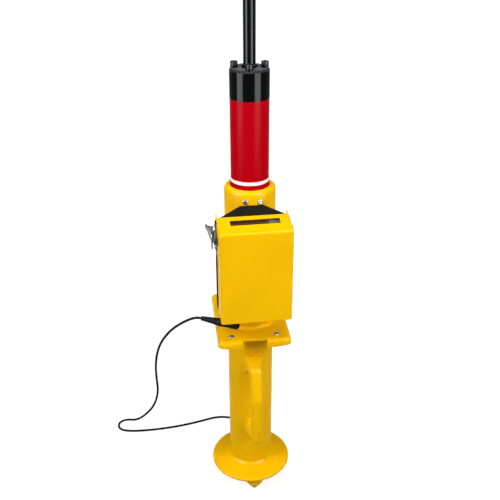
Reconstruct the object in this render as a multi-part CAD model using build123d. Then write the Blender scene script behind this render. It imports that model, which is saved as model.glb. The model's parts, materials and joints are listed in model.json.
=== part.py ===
"""Drop-hammer soil tester: guide tube on a spiked base, hand-lifted hammer and a readout box with its lead.

Millimetres, +Z up. The origin lies on the guide tube's axis, level with the spike tips.
The front, with the readout box and the carrying handle, faces -Y.
The hammer is drawn raised to its drop height, with its white mark just above the guide tube.
"""

import math
import os

from build123d import *

# Spikes, base flange and guide tube
SPIKE_COUNT = 3
SPIKE_HEIGHT = 27.0
SPIKE_DIAMETER = 26.0
SPIKE_TIP_DIAMETER = 7.0
SPIKE_CONE_HEIGHT = 14.0
SPIKE_INSET = 19.0
SPIKE_STUD_DIAMETER = 8.0
SPIKE_STUD_LENGTH = 4.0
FLANGE_DIAMETER = 120.0
FLANGE_RIM = 5.0
FLANGE_RIM_ROUND = 2.2
FLANGE_RISE = 7.0
WELD_SIZE = 3.5
GUIDE_CLEARANCE = 0.8
TUBE_WALL = 6.45
COLLAR_WALL = 1.95
COLLAR_LENGTH = 70.0
COLLAR_LIP = 8.0
COLLAR_ROUND = 6.0
COLLAR_MOUTH = 0.8

# Carrying handle
HANDLE_BOTTOM_HEIGHT = 84.0
HANDLE_HEIGHT = 133.0
HANDLE_REACH = 41.0
HANDLE_BAR_WIDTH = 17.0
HANDLE_BAR_DEPTH = 14.0
HANDLE_FOOT_WIDTH = 28.0
HANDLE_LEG_THICKNESS = 10.0
HANDLE_UPPER_LEG_SLOPE = 22.0
HANDLE_LOWER_LEG_SLOPE = 6.0
HANDLE_SHOULDER_SETBACK = 13.0
HANDLE_SHOULDER_DROP = 8.0
HANDLE_BAR_DROP = 54.0
HANDLE_FOOT_DROP = 8.0
HANDLE_CORNER_ROUND = 8.0
HANDLE_BEND_ROUND = 24.0
HANDLE_FLARE_ROUND = 60.0
HANDLE_EDGE_ROUND = 5.5
HANDLE_INSIDE_ROUND = 3.0
HANDLE_SCREW_DIAMETER = 6.0
HANDLE_SCREW_HEAD_DIAMETER = 10.0
HANDLE_SCREW_HEAD_HEIGHT = 3.0
HANDLE_SCREW_GRIP = 12.0

# Support plate under the readout box
PLATE_ABOVE_HANDLE = 43.0
PLATE_WIDTH = 102.0
PLATE_FRONT = 63.0
PLATE_BACK = 71.0
PLATE_TURN = -1.7
PLATE_SHEET = 3.0
PLATE_SKIRT = 12.5
PLATE_SIDE_SKIRT = 9.0
PLATE_BEND = 6.0
PLATE_CORNER = 8.0
PLATE_GAP_WIDTH = 33.0
PLATE_GAP_DEPTH = 5.5
PLATE_SCREW_X = 31.4
PLATE_SCREW_Y = 49.0
YOKE_WALL = 6.5
YOKE_HEIGHT = 9.0
YOKE_ARM_WIDTH = 12.0

# Readout box
READOUT_X = -3.0
BOX_WIDTH = 94.0
BOX_ABOVE_PLATE = 45.0
BOX_HEIGHT = 129.4
BOX_TOP_RISE = 7.6
COVER_DEPTH = 36.0
TRAY_DEPTH = 13.1
BOX_SHEET = 1.6
BOX_BEND = 3.4
COVER_GAP = 0.4
EAR_RISE = 7.0
TRAY_TOP_DROP = 7.0
SADDLE_THICKNESS = 1.3
SADDLE_WIDTH = 32.0
SADDLE_DROP = 48.0
SADDLE_BELOW_RIM = 7.8
SPACER_SIZE = 18.0
SPACER_ABOVE_BOTTOM = 20.0
HOOD_SIDE_MARGIN = 5.0
HOOD_BACK_WIDTH = 30.0
HOOD_RISE = 8.5
HANGER_SCREW_X = 9.5
HANGER_TURN = -2.0
HANGER_SCREW_ABOVE_HOOD = 0.8
SADDLE_ABOVE_SCREW = 4.5

# Display in the sloping top of the box
WINDOW_SIDE_MARGIN = 15.1
WINDOW_X = 0.8
WINDOW_DEPTH = 11.0
WINDOW_FROM_BACK = 13.0
WINDOW_MARGIN = 3.5
WINDOW_SINK = 0.2
GASKET_THICKNESS = 0.8
PANE_THICKNESS = 1.6
DISPLAY_THICKNESS = 6.0
DROP_DISPLAY_WIDTH = 13.0
DISPLAY_BOARD_MARGIN = 2.4
DISPLAY_STUD_DIAMETER = 4.0

# Electronics in the tray
BOARD_SHEET = 1.6
BOARD_SIDE_MARGIN = 9.4
BOARD_TOP_MARGIN = 4.4
BOARD_BOTTOM = 40.0
STANDOFF_DIAMETER = 5.0
STANDOFF_LENGTH = 6.0
STANDOFF_INSET = 5.0
CHIP_HEIGHT = 2.0
CELL_DIAMETER = 14.5
CELL_LENGTH = 50.5
CELL_ROWS = 2
CELL_LAYERS = 2
CELL_CLEARANCE = 0.3
HOLDER_WALL = 1.6
HOLDER_RIGHT_MARGIN = 2.0

# Cover hinge
HINGE_KNUCKLES = 5
HINGE_KNUCKLE_GAP = 0.5
HINGE_STANDOFF = 3.0
HINGE_BARREL_DIAMETER = 5.0
HINGE_PIN_DIAMETER = 2.4
HINGE_LEAF_SHEET = 1.2
HINGE_LEAF_WIDTH = 9.0
HINGE_ABOVE_BOTTOM = 10.0
HINGE_BELOW_FOLD = 9.4
RUNNING_CLEARANCE = 0.05

# Draw latch on the left side of the box
LATCH_BELOW_FOLD = 20.4
LATCH_BASE_LENGTH = 38.0
LATCH_BASE_ABOVE = 11.0
LATCH_BASE_SHEET = 1.5
LATCH_LEVER_HEIGHT = 12.0
LATCH_LEVER_LENGTH = 23.0
LATCH_LEVER_SHEET = 1.2
LATCH_LEVER_ANGLE = 8.0
LATCH_CHEEK_WIDTH = 4.6
LATCH_TAB_LENGTH = 6.5
LATCH_TAB_HEIGHT = 5.0
LATCH_TAPER_START = 12.0
LATCH_TAB_ANGLE = 11.0
LATCH_PIVOT_STANDOFF = 3.2
LATCH_PIVOT_INSET = 4.5
LATCH_PIN_DIAMETER = 2.4
LATCH_EAR_SHEET = 1.2
LATCH_EAR_GAP = 0.6
LATCH_BARREL_WALL = 1.1
BAIL_WIRE = 2.0
BAIL_ARM_GAP = 0.8
BAIL_PIVOT_OFFSET = 8.0
BAIL_REACH = 16.5
BAIL_STANDOFF = 7.4
KEEPER_WIDTH = 9.0
KEEPER_LENGTH = 10.0
KEEPER_HOOK = 3.6
RIVET_DIAMETER = 3.4
RIVET_HEIGHT = 0.9
RIVET_ROUND = 0.6
RIVET_MARGIN = 3.2
RIVET_PITCH = 5.0

# Lead with its angled plug, put-away coil and connector
LEAD_DIAMETER = 3.6
SOCKET_FROM_SIDE = 21.0
SOCKET_Y = -66.0
SOCKET_DIAMETER = 12.0
SOCKET_FLANGE_DIAMETER = 16.0
SOCKET_FLANGE_HEIGHT = 2.0
SOCKET_DROP = 6.0
SOCKET_INSIDE = 11.0
PLUG_DIAMETER = 10.8
PLUG_DROP = 20.0
PLUG_TURN = 29.4
PLUG_LENGTH = 24.0
BOOT_LENGTH = 26.0
BOOT_TIP_DIAMETER = 6.4
BOOT_RIBS = 5
BOOT_RIB_DEPTH = 0.35
CORD_START_RUN = 16.0
CORD_END_RUN = 45.0
CORD_ARC_SHARE = 0.45
CORD_ROUTE = [
    (-99, -15, 294), (-116, 12, 266), (-131, 43, 222), (-140, 70, 172), (-142, 95, 125),
    (-139, 112, 83), (-147, 124.5, 44), (-162, 136, 11), (-181, 146, 1.8), (-199, 153, 1.8),
    (-213, 144, 1.8), (-213, 126, 1.8), (-198, 117, 1.8), (-162, 113, 1.8), (-118, 115, 1.8), (-77, 122, 1.8),
]
COIL_X = 21.0
COIL_Y = 133.0
COIL_TURNS = 3
COIL_RADIUS = 25.5
COIL_GAP = 0.6
COIL_HEADING = -27.0
COIL_EXIT_TURN = 109.0
COIL_EXIT_RUN = 14.0
TIE_SHEET = 0.8
TIE_WIDTH = 6.0
TIE_CLEARANCE = 0.2
CONNECTOR_TAIL = 9.0
CONNECTOR_BODY = 18.0
CONNECTOR_BODY_DIAMETER = 11.0
CONNECTOR_NUT = 10.0
CONNECTOR_MOUTH_WALL = 1.6
CONNECTOR_MOUTH_DEPTH = 3.0

# Hammer
FACE_IN_GUIDE = 17.0
HAMMER_DIAMETER = 50.0
HAMMER_LENGTH = 132.0
FACE_CHAMFER = 1.5
RING_ABOVE_GUIDE = 6.0
RING_WIDTH = 4.4
RING_PROUD = 0.4
RING_GROOVE = 0.7
CAP_PROUD = 0.2
CAP_HEIGHT = 37.0
CAP_BEVEL = 2.5
CAP_SCREW_COUNT = 4
CAP_SCREW_INSET = 6.0
CAP_SCREW_TURN = -8.0
CAP_SCREW_DIAMETER = 5.0
CAP_SCREW_HEAD_DIAMETER = 9.2
CAP_SCREW_HEAD_HEIGHT = 4.6
CAP_SCREW_HEAD_ROUND = 1.0
CAP_SCREW_SOCKET = 4.0
CAP_SCREW_BITE = 14.0
CAP_SPACER_DIAMETER = 9.4
CAP_SPACER_HEIGHT = 3.0
SENSOR_POCKET_DIAMETER = 27.0
SENSOR_POCKET_DEPTH = 45.0
CAP_POCKET_DEPTH = 14.0
SENSOR_DIAMETER = 20.0
SENSOR_HEIGHT = 26.0
SENSOR_HEX_HEIGHT = 6.0
SENSOR_STUD_DIAMETER = 5.0
SENSOR_STUD_LENGTH = 8.0
SENSOR_WIRE_DIAMETER = 3.0
ROD_DIAMETER = 15.4
ROD_BORE = 9.0
HAND_ROOM = 63.5
ROD_NUT_DIAMETER = 20.0
ROD_NUT_HEIGHT = 3.2
GRIP_DIAMETER = 32.0
GRIP_LENGTH = 115.0
GRIP_ROUND = 5.0
GRIP_RINGS = 9
GRIP_RING_DEPTH = 1.0
GRIP_RING_WIDTH = 3.0
END_CAP_HEIGHT = 9.0
HANDLE_SOCKET_DIAMETER = 12.0
HANDLE_SOCKET_HEIGHT = 12.0

# Common fasteners and clearances
SCREW_DIAMETER = 4.0
SCREW_HEAD_DIAMETER = 6.8
SCREW_HEAD_HEIGHT = 2.0
SCREW_HEAD_ROUND = 1.0
SCREW_SLOT_WIDTH = 1.1
SCREW_SLOT_DEPTH = 1.2
BORE_COVER = 0.8
HOLE_CLEARANCE = 0.1

# Radii that follow from the sizes above
HAMMER_R = HAMMER_DIAMETER / 2
CAP_R = HAMMER_R + CAP_PROUD
BORE_R = HAMMER_R + GUIDE_CLEARANCE
TUBE_R = BORE_R + TUBE_WALL
COLLAR_R = TUBE_R + COLLAR_WALL
FLANGE_R = FLANGE_DIAMETER / 2
SPIKE_R = SPIKE_DIAMETER / 2

# Levels, stacked from the ground up to the hammer's handle
GROUND = SPIKE_HEIGHT
HANDLE_BOTTOM = GROUND + HANDLE_BOTTOM_HEIGHT
HANDLE_TOP = HANDLE_BOTTOM + HANDLE_HEIGHT
PLATE_TOP = HANDLE_TOP + PLATE_ABOVE_HANDLE
PLATE_UNDER = PLATE_TOP - PLATE_SHEET
BOX_BOTTOM = PLATE_TOP + BOX_ABOVE_PLATE
BOX_FOLD = BOX_BOTTOM + BOX_HEIGHT
BOX_TOP = BOX_FOLD + BOX_TOP_RISE
TRAY_TOP = BOX_TOP - TRAY_TOP_DROP
HOOD_TOP = BOX_TOP + HOOD_RISE
HANGER_SCREW_Z = HOOD_TOP + HANGER_SCREW_ABOVE_HOOD + SCREW_HEAD_DIAMETER / 2
SADDLE_TOP = HANGER_SCREW_Z + SADDLE_ABOVE_SCREW
SADDLE_BOTTOM = SADDLE_TOP - SADDLE_DROP
GUIDE_TOP = SADDLE_TOP + SADDLE_BELOW_RIM
TUBE_TOP = GUIDE_TOP - COLLAR_LIP
FACE_Z = GUIDE_TOP - FACE_IN_GUIDE
DROP_HEIGHT = FACE_Z - GROUND
RING_BOTTOM = GUIDE_TOP + RING_ABOVE_GUIDE
BODY_TOP = FACE_Z + HAMMER_LENGTH
CAP_TOP = BODY_TOP + CAP_HEIGHT
SENSOR_FLOOR = BODY_TOP - SENSOR_POCKET_DEPTH
GRIP_BOTTOM = GUIDE_TOP + DROP_HEIGHT + HAND_ROOM
GRIP_TOP = GRIP_BOTTOM + GRIP_LENGTH
END_CAP_TOP = GRIP_TOP + END_CAP_HEIGHT

# Depths of the readout box, from the tube forwards
BOX_HALF = BOX_WIDTH / 2
TRAY_BACK_Y = -(COLLAR_R + SADDLE_THICKNESS)
TRAY_WALL_Y = TRAY_BACK_Y - BOX_SHEET
TRAY_FRONT_Y = TRAY_BACK_Y - TRAY_DEPTH
SEAM_Y = TRAY_FRONT_Y - COVER_GAP
FRONT_Y = SEAM_Y - COVER_DEPTH
TOP_SLOPE = math.atan2(BOX_TOP_RISE, COVER_DEPTH)

# Places of the hinge, the latch and the lead's socket on the box
HINGE_X = BOX_HALF + HINGE_STANDOFF
HINGE_Y = SEAM_Y
HINGE_BOTTOM = BOX_BOTTOM + HINGE_ABOVE_BOTTOM
HINGE_LENGTH = BOX_HEIGHT - HINGE_ABOVE_BOTTOM - HINGE_BELOW_FOLD
LATCH_X = -BOX_HALF - LATCH_BASE_SHEET - LATCH_PIVOT_STANDOFF
LATCH_Y = TRAY_FRONT_Y + LATCH_PIVOT_INSET
LATCH_Z = BOX_FOLD - LATCH_BELOW_FOLD
SOCKET_X = SOCKET_FROM_SIDE - BOX_HALF

UPRIGHT = (Align.CENTER, Align.CENTER, Align.MIN)
LOW_CORNER = (Align.MIN, Align.MIN, Align.MIN)


# Shape helpers
def cylinder(radius, bottom, top, x=0.0, y=0.0):
    return Pos(x, y, bottom) * Cylinder(radius, top - bottom, align=UPRIGHT)


def ring(outer, inner, bottom, top, x=0.0, y=0.0):
    return cylinder(outer, bottom, top, x, y) - cylinder(inner, bottom, top, x, y)


def block(x0, x1, y0, y1, z0, z1):
    return Pos(x0, y0, z0) * Box(x1 - x0, y1 - y0, z1 - z0, align=LOW_CORNER)


def side_shape(points, half_width):
    """Extrude an outline of (y, z) points to both sides of x = 0."""
    face = make_face(Polyline(*points, close=True))
    return extrude(Plane.YZ * face, half_width, both=True)


def plan_shape(points, bottom, top):
    """Extrude an outline of (x, y) points upwards."""
    face = make_face(Polyline(*points, close=True))
    return Pos(0, 0, bottom) * extrude(face, top - bottom)


def turned(points):
    """Revolve an outline of (radius, z) points about the Z axis."""
    return revolve(Plane.XZ * make_face(Polyline(*points, close=True)), Axis.Z)


def closed_face(path):
    """The face inside an open path and the straight line that joins its ends."""
    return make_face([*path.edges(), Line(path @ 1, path @ 0)])


def group(solids):
    return Compound(children=list(solids))


def readout(shape):
    """Move a piece of the readout box from the box's own centre to its place on the tube."""
    return Pos(READOUT_X, 0, 0) * shape


def pan_screw(length):
    """A slotted pan-head screw: head above z = 0, shank below."""
    head = cylinder(SCREW_HEAD_DIAMETER / 2, 0, SCREW_HEAD_HEIGHT)
    head = fillet(head.edges().group_by(Axis.Z)[-1], SCREW_HEAD_ROUND)
    slot = Box(SCREW_HEAD_DIAMETER, SCREW_SLOT_WIDTH, SCREW_SLOT_DEPTH * 2)
    return head - Pos(0, 0, SCREW_HEAD_HEIGHT) * slot + cylinder(SCREW_DIAMETER / 2, -length, 0)


def screw_hole(length):
    return cylinder(SCREW_DIAMETER / 2 + HOLE_CLEARANCE, -length, SCREW_HEAD_HEIGHT)


def radial_place(angle, radius, z):
    """A place on the front of the tube, angle degrees from the front, with local Z pointing outwards."""
    turn = math.radians(angle)
    outwards = Vector(math.sin(turn), -math.cos(turn), 0)
    return Plane(origin=outwards * radius + Vector(0, 0, z), z_dir=outwards)


# Places of the screws that enter the tube from the front
HANGER_ANGLE = math.degrees(math.asin(HANGER_SCREW_X / (COLLAR_R + SADDLE_THICKNESS)))
HANGER_SCREW_LENGTH = COLLAR_R + SADDLE_THICKNESS - BORE_R - BORE_COVER
TRAY_SCREW_LENGTH = HANGER_SCREW_LENGTH + BOX_SHEET
SPACER_BOTTOM = BOX_BOTTOM + SPACER_ABOVE_BOTTOM
TRAY_SCREW_LEVELS = (SPACER_BOTTOM + SPACER_SIZE / 2, SADDLE_BOTTOM + SCREW_HEAD_DIAMETER)


def hanger_places():
    radius = COLLAR_R + SADDLE_THICKNESS
    return [radial_place(HANGER_TURN + side * HANGER_ANGLE, radius, HANGER_SCREW_Z) for side in (-1, 1)]


def tray_screw_places():
    return [radial_place(0, -TRAY_WALL_Y, level) for level in TRAY_SCREW_LEVELS]


def cut_front_holes(shape):
    for place in hanger_places():
        shape -= place * screw_hole(HANGER_SCREW_LENGTH)
    for place in tray_screw_places():
        shape -= place * screw_hole(TRAY_SCREW_LENGTH)
    return shape


# Depths of the carrying handle and its two screws through the tube wall
HANDLE_OUTER_Y = -(TUBE_R + HANDLE_REACH)
HANDLE_INNER_Y = HANDLE_OUTER_Y + HANDLE_BAR_DEPTH
HANDLE_SCREW_LEVELS = (
    HANDLE_BOTTOM + (HANDLE_LEG_THICKNESS + HANDLE_LOWER_LEG_SLOPE - HANDLE_FOOT_DROP) / 2,
    HANDLE_TOP - HANDLE_SHOULDER_DROP - HANDLE_SCREW_DIAMETER,
)
HANDLE_HEAD_R = BORE_R + BORE_COVER


def handle_screw(clearance=0.0):
    """A screw along the tube's radius: head in the tube wall, shank in the handle's leg."""
    head = HANDLE_SCREW_HEAD_DIAMETER / 2 + clearance
    shank = HANDLE_SCREW_DIAMETER / 2 + clearance
    end = TUBE_R + HANDLE_SCREW_GRIP
    seat = HANDLE_HEAD_R + HANDLE_SCREW_HEAD_HEIGHT
    return cylinder(head, HANDLE_HEAD_R, seat) + cylinder(shank, seat, end)


def handle_screw_places():
    return [radial_place(0, 0, level) for level in HANDLE_SCREW_LEVELS]


# Base and guide tube
def spike_places():
    return PolarLocations(FLANGE_R - SPIKE_INSET, SPIKE_COUNT, start_angle=-90)


def spike_stud():
    return cylinder(SPIKE_STUD_DIAMETER / 2, GROUND, GROUND + SPIKE_STUD_LENGTH)


def make_ground_spikes():
    tip = Cone(SPIKE_TIP_DIAMETER / 2, SPIKE_R, SPIKE_CONE_HEIGHT, align=UPRIGHT)
    spike = tip + cylinder(SPIKE_R, SPIKE_CONE_HEIGHT, GROUND) + spike_stud()
    return group(place * spike for place in spike_places())


def make_base_flange():
    rim_top = GROUND + FLANGE_RIM
    hub = TUBE_R + WELD_SIZE
    dish_top = rim_top + FLANGE_RISE
    flange = turned([
        (TUBE_R, GROUND), (FLANGE_R, GROUND), (FLANGE_R, rim_top),
        (hub, dish_top), (TUBE_R, dish_top + WELD_SIZE),
    ])
    rim = flange.edges().filter_by(GeomType.CIRCLE).sort_by(SortBy.RADIUS)[-2:]
    flange = fillet(rim, FLANGE_RIM_ROUND)
    for place in spike_places():
        flange -= place * spike_stud()
    return flange


def make_guide_tube():
    tube = cut_front_holes(ring(TUBE_R, BORE_R, GROUND, TUBE_TOP))
    head_way = cylinder(HANDLE_SCREW_HEAD_DIAMETER / 2 + HOLE_CLEARANCE, 0, HANDLE_HEAD_R)
    for place in handle_screw_places():
        tube -= place * (handle_screw(HOLE_CLEARANCE) + head_way)
    return tube


def make_guide_collar():
    collar = cylinder(COLLAR_R, GUIDE_TOP - COLLAR_LENGTH, GUIDE_TOP)
    collar = fillet(collar.edges().group_by(Axis.Z)[-1], COLLAR_ROUND)
    collar -= cylinder(BORE_R, TUBE_TOP, GUIDE_TOP)
    collar = chamfer(collar.edges().group_by(Axis.Z)[-1].sort_by(SortBy.RADIUS)[0], COLLAR_MOUTH)
    collar -= cylinder(TUBE_R, GUIDE_TOP - COLLAR_LENGTH, TUBE_TOP)
    return cut_front_holes(collar)


# Carrying handle
def make_carry_handle():
    foot_y = -BORE_R
    foot_z = HANDLE_BOTTOM - HANDLE_FOOT_DROP
    bar_top = HANDLE_TOP - HANDLE_BAR_DROP
    shoulder = HANDLE_TOP - HANDLE_SHOULDER_DROP
    outer = FilletPolyline(
        (foot_y, foot_z), (HANDLE_INNER_Y, HANDLE_BOTTOM), (HANDLE_OUTER_Y, HANDLE_BOTTOM),
        (HANDLE_OUTER_Y, bar_top), (HANDLE_OUTER_Y + HANDLE_SHOULDER_SETBACK, shoulder), (foot_y, HANDLE_TOP),
        radius=[HANDLE_BEND_ROUND, HANDLE_CORNER_ROUND, HANDLE_BEND_ROUND, HANDLE_CORNER_ROUND])
    knee_top = shoulder - HANDLE_LEG_THICKNESS
    knee_bottom = HANDLE_BOTTOM + HANDLE_LEG_THICKNESS
    inner = FilletPolyline(
        (foot_y, knee_bottom + HANDLE_LOWER_LEG_SLOPE), (HANDLE_INNER_Y, knee_bottom), (HANDLE_INNER_Y, bar_top),
        (HANDLE_INNER_Y + HANDLE_SHOULDER_SETBACK, knee_top), (foot_y, knee_top - HANDLE_UPPER_LEG_SLOPE),
        radius=[HANDLE_INSIDE_ROUND, HANDLE_BEND_ROUND, HANDLE_INSIDE_ROUND])
    loop = extrude(Plane.YZ * (closed_face(outer) - closed_face(inner)), HANDLE_FOOT_WIDTH, both=True)
    bar = HANDLE_BAR_WIDTH / 2
    foot = HANDLE_FOOT_WIDTH / 2
    plan = make_face(Polyline(
        (-bar, HANDLE_OUTER_Y), (bar, HANDLE_OUTER_Y), (bar, HANDLE_INNER_Y), (foot, -TUBE_R), (foot, foot_y),
        (-foot, foot_y), (-foot, -TUBE_R), (-bar, HANDLE_INNER_Y), close=True))
    plan = fillet(plan.vertices().group_by(Axis.Y)[1], HANDLE_FLARE_ROUND)
    handle = loop & (Pos(0, 0, foot_z) * extrude(plan, HANDLE_TOP - foot_z))
    sides = [edge for edge in handle.edges() if abs(edge.center().X) > bar / 2 and edge.center().Y < -TUBE_R]
    handle = fillet(sides, HANDLE_EDGE_ROUND)
    handle -= cylinder(TUBE_R, foot_z, HANDLE_TOP)
    for place in handle_screw_places():
        handle -= place * handle_screw()
    return handle


def make_handle_screws():
    return group(place * handle_screw() for place in handle_screw_places())


# Support plate
def make_support_plate():
    half = PLATE_WIDTH / 2
    skirt_bottom = PLATE_TOP - PLATE_SKIRT
    plate = block(-half, half, -PLATE_FRONT, PLATE_BACK, skirt_bottom, PLATE_TOP)
    front_corners = plate.edges().filter_by(Axis.Z).group_by(Axis.Y)[0]
    plate = fillet(front_corners, PLATE_CORNER)
    top_edges = plate.faces().sort_by(Axis.Z)[-1].edges().sort_by(Axis.Y)
    plate = fillet(top_edges[:-1], PLATE_BEND)
    inside = block(PLATE_SHEET - half, half - PLATE_SHEET, PLATE_SHEET - PLATE_FRONT, PLATE_BACK,
                   skirt_bottom, PLATE_UNDER)
    inside_corners = inside.edges().filter_by(Axis.Z).group_by(Axis.Y)[0]
    plate -= fillet(inside_corners, PLATE_CORNER - PLATE_SHEET)
    gap = PLATE_GAP_WIDTH / 2
    side_bottom = PLATE_TOP - PLATE_SIDE_SKIRT
    for side in (-1, 1):
        wedge = Polyline((side * gap, skirt_bottom), (side * half, skirt_bottom), (side * half, side_bottom))
        plate -= extrude(Plane.XZ * closed_face(wedge), PLATE_WIDTH, both=True)
    plate -= block(-gap, gap, -PLATE_FRONT, PLATE_GAP_DEPTH - PLATE_FRONT, skirt_bottom, PLATE_TOP)
    plate -= cylinder(TUBE_R, PLATE_UNDER, PLATE_TOP)
    for place in plate_screw_places():
        plate -= place * screw_hole(PLATE_SHEET)
    return Rot(0, 0, PLATE_TURN) * plate


def plate_screw_places():
    return [Pos(side * PLATE_SCREW_X, -PLATE_SCREW_Y, PLATE_TOP) for side in (-1, 1)]


def make_plate_yoke():
    bottom = PLATE_UNDER - YOKE_HEIGHT
    yoke = cylinder(TUBE_R + YOKE_WALL, bottom, PLATE_UNDER)
    reach = math.hypot(PLATE_SCREW_X, PLATE_SCREW_Y) + YOKE_ARM_WIDTH / 2
    for side in (-1, 1):
        turn = math.degrees(math.atan2(-PLATE_SCREW_Y, side * PLATE_SCREW_X))
        arm = block(0, reach, -YOKE_ARM_WIDTH / 2, YOKE_ARM_WIDTH / 2, bottom, PLATE_UNDER)
        yoke += Rot(0, 0, turn) * arm
    yoke -= cylinder(TUBE_R, bottom, PLATE_UNDER)
    for place in plate_screw_places():
        yoke -= place * cylinder(SCREW_DIAMETER / 2, -PLATE_SHEET - YOKE_HEIGHT, 0)
    return Rot(0, 0, PLATE_TURN) * yoke


def make_plate_screws():
    screw = pan_screw(PLATE_SHEET + YOKE_HEIGHT)
    return group(Rot(0, 0, PLATE_TURN) * place * screw for place in plate_screw_places())


# Readout box: what carries it
def make_hanger_saddle():
    saddle = ring(COLLAR_R + SADDLE_THICKNESS, COLLAR_R, SADDLE_BOTTOM, SADDLE_TOP)
    half = SADDLE_WIDTH / 2
    saddle &= block(-half, half, -COLLAR_R - SADDLE_THICKNESS, 0, SADDLE_BOTTOM, SADDLE_TOP)
    return cut_front_holes(saddle)


def make_hanger_screws():
    return group(place * pan_screw(HANGER_SCREW_LENGTH) for place in hanger_places())


def make_lower_spacer():
    half = SPACER_SIZE / 2
    spacer = block(-half, half, TRAY_BACK_Y, -BORE_R, SPACER_BOTTOM, SPACER_BOTTOM + SPACER_SIZE)
    return cut_front_holes(spacer - cylinder(TUBE_R, SPACER_BOTTOM, SPACER_BOTTOM + SPACER_SIZE))


def make_tray_screws():
    return group(place * pan_screw(TRAY_SCREW_LENGTH) for place in tray_screw_places())


# Readout box: tray, cover and hood
def hinge_swing_x(y):
    """The furthest left that a fixed piece may reach at this depth and still clear the swinging cover."""
    swing = HINGE_X + BOX_HALF - BOX_SHEET - COVER_GAP
    return HINGE_X - math.sqrt(swing ** 2 - (y - HINGE_Y) ** 2)


SHELF_FRONT_Y = FRONT_Y + BOX_SHEET + COVER_GAP
SHELF_HALF = BOX_HALF - BOX_SHEET - COVER_GAP


def make_readout_tray():
    tray = block(-BOX_HALF, BOX_HALF, TRAY_WALL_Y, TRAY_BACK_Y, BOX_BOTTOM, TRAY_TOP)
    tray += block(-BOX_HALF, BOX_HALF, TRAY_FRONT_Y, TRAY_BACK_Y, TRAY_TOP - BOX_SHEET, TRAY_TOP)
    cheek_points = [
        (TRAY_FRONT_Y, BOX_BOTTOM), (TRAY_FRONT_Y, TRAY_TOP),
        (TRAY_BACK_Y, TRAY_TOP + EAR_RISE), (TRAY_BACK_Y, BOX_BOTTOM),
    ]
    cheek = side_shape(cheek_points, BOX_SHEET / 2)
    for side in (-1, 1):
        tray += Pos(side * (BOX_HALF - BOX_SHEET / 2), 0, 0) * cheek
    corner = BOX_BEND - BOX_SHEET
    shelf_points = [
        (-BOX_HALF, TRAY_BACK_Y), (-BOX_HALF, TRAY_FRONT_Y), (hinge_swing_x(TRAY_FRONT_Y), TRAY_FRONT_Y),
        (hinge_swing_x(SHELF_FRONT_Y), SHELF_FRONT_Y), (SHELF_HALF - corner, SHELF_FRONT_Y),
        (SHELF_HALF, SHELF_FRONT_Y + corner), (SHELF_HALF, TRAY_FRONT_Y),
        (BOX_HALF, TRAY_FRONT_Y), (BOX_HALF, TRAY_BACK_Y),
    ]
    tray += plan_shape(shelf_points, BOX_BOTTOM, BOX_BOTTOM + BOX_SHEET)
    tray -= cylinder(SOCKET_DIAMETER / 2, BOX_BOTTOM, BOX_BOTTOM + BOX_SHEET, SOCKET_X, SOCKET_Y)
    tray = readout(tray)
    for place in tray_screw_places():
        tray -= place * screw_hole(BOX_SHEET)
    return tray


def cover_bends(shell):
    """The edges that the cover's sheet is bent round: all but those of the open back and the open bottom."""
    open_back = shell.faces().sort_by(Axis.Y)[-1]
    open_bottom = shell.faces().sort_by(Axis.Z)[0]
    return shell.edges() - open_back.edges() - open_bottom.edges()


def make_readout_cover():
    outer = side_shape([
        (FRONT_Y, BOX_BOTTOM), (FRONT_Y, BOX_FOLD), (SEAM_Y, BOX_TOP), (SEAM_Y, BOX_BOTTOM),
    ], BOX_HALF)
    outer = fillet(cover_bends(outer), BOX_BEND)
    drop = BOX_SHEET / math.cos(TOP_SLOPE)
    front = FRONT_Y + BOX_SHEET
    fold = BOX_FOLD + BOX_SHEET * math.tan(TOP_SLOPE) - drop
    inner = side_shape([
        (front, BOX_BOTTOM), (front, fold), (SEAM_Y, BOX_TOP - drop), (SEAM_Y, BOX_BOTTOM),
    ], BOX_HALF - BOX_SHEET)
    inner = fillet(cover_bends(inner), BOX_BEND - BOX_SHEET)
    cover = outer - inner
    cover -= window_plane() * Box(WINDOW_WIDTH, WINDOW_DEPTH, BOX_SHEET * 4)
    return readout(cover)


def make_rear_hood():
    front = BOX_HALF - HOOD_SIDE_MARGIN
    back = HOOD_BACK_WIDTH / 2
    hood = plan_shape([
        (-front, TRAY_FRONT_Y), (front, TRAY_FRONT_Y), (back, TRAY_BACK_Y), (-back, TRAY_BACK_Y),
    ], TRAY_TOP, HOOD_TOP)
    hood &= side_shape([
        (TRAY_FRONT_Y, TRAY_TOP), (TRAY_FRONT_Y, BOX_TOP), (TRAY_BACK_Y, HOOD_TOP),
        (TRAY_BACK_Y, TRAY_TOP),
    ], BOX_HALF)
    return readout(hood)


# Display under the sloping top
WINDOW_WIDTH = BOX_WIDTH - 2 * WINDOW_SIDE_MARGIN
VALUE_DISPLAY_WIDTH = WINDOW_WIDTH - DROP_DISPLAY_WIDTH
DISPLAY_BOARD_WIDTH = BOX_WIDTH - 2 * (BOX_SHEET + DISPLAY_BOARD_MARGIN)


def window_plane(depth=0.0):
    """The window's centre on the top panel, sunk by depth, with local Z square to the panel."""
    y = SEAM_Y - WINDOW_FROM_BACK
    z = BOX_TOP - WINDOW_FROM_BACK * math.tan(TOP_SLOPE)
    normal = Vector(0, -math.sin(TOP_SLOPE), math.cos(TOP_SLOPE))
    return Plane(origin=Vector(WINDOW_X, y, z) - normal * depth, x_dir=(1, 0, 0), z_dir=normal)


def under_window(width, depth, thickness, level, x=0.0):
    """A plate under the window, its top at this level below the panel's outer face."""
    return window_plane(level + thickness / 2) * Pos(x, 0, 0) * Box(width, depth, thickness)


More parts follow.
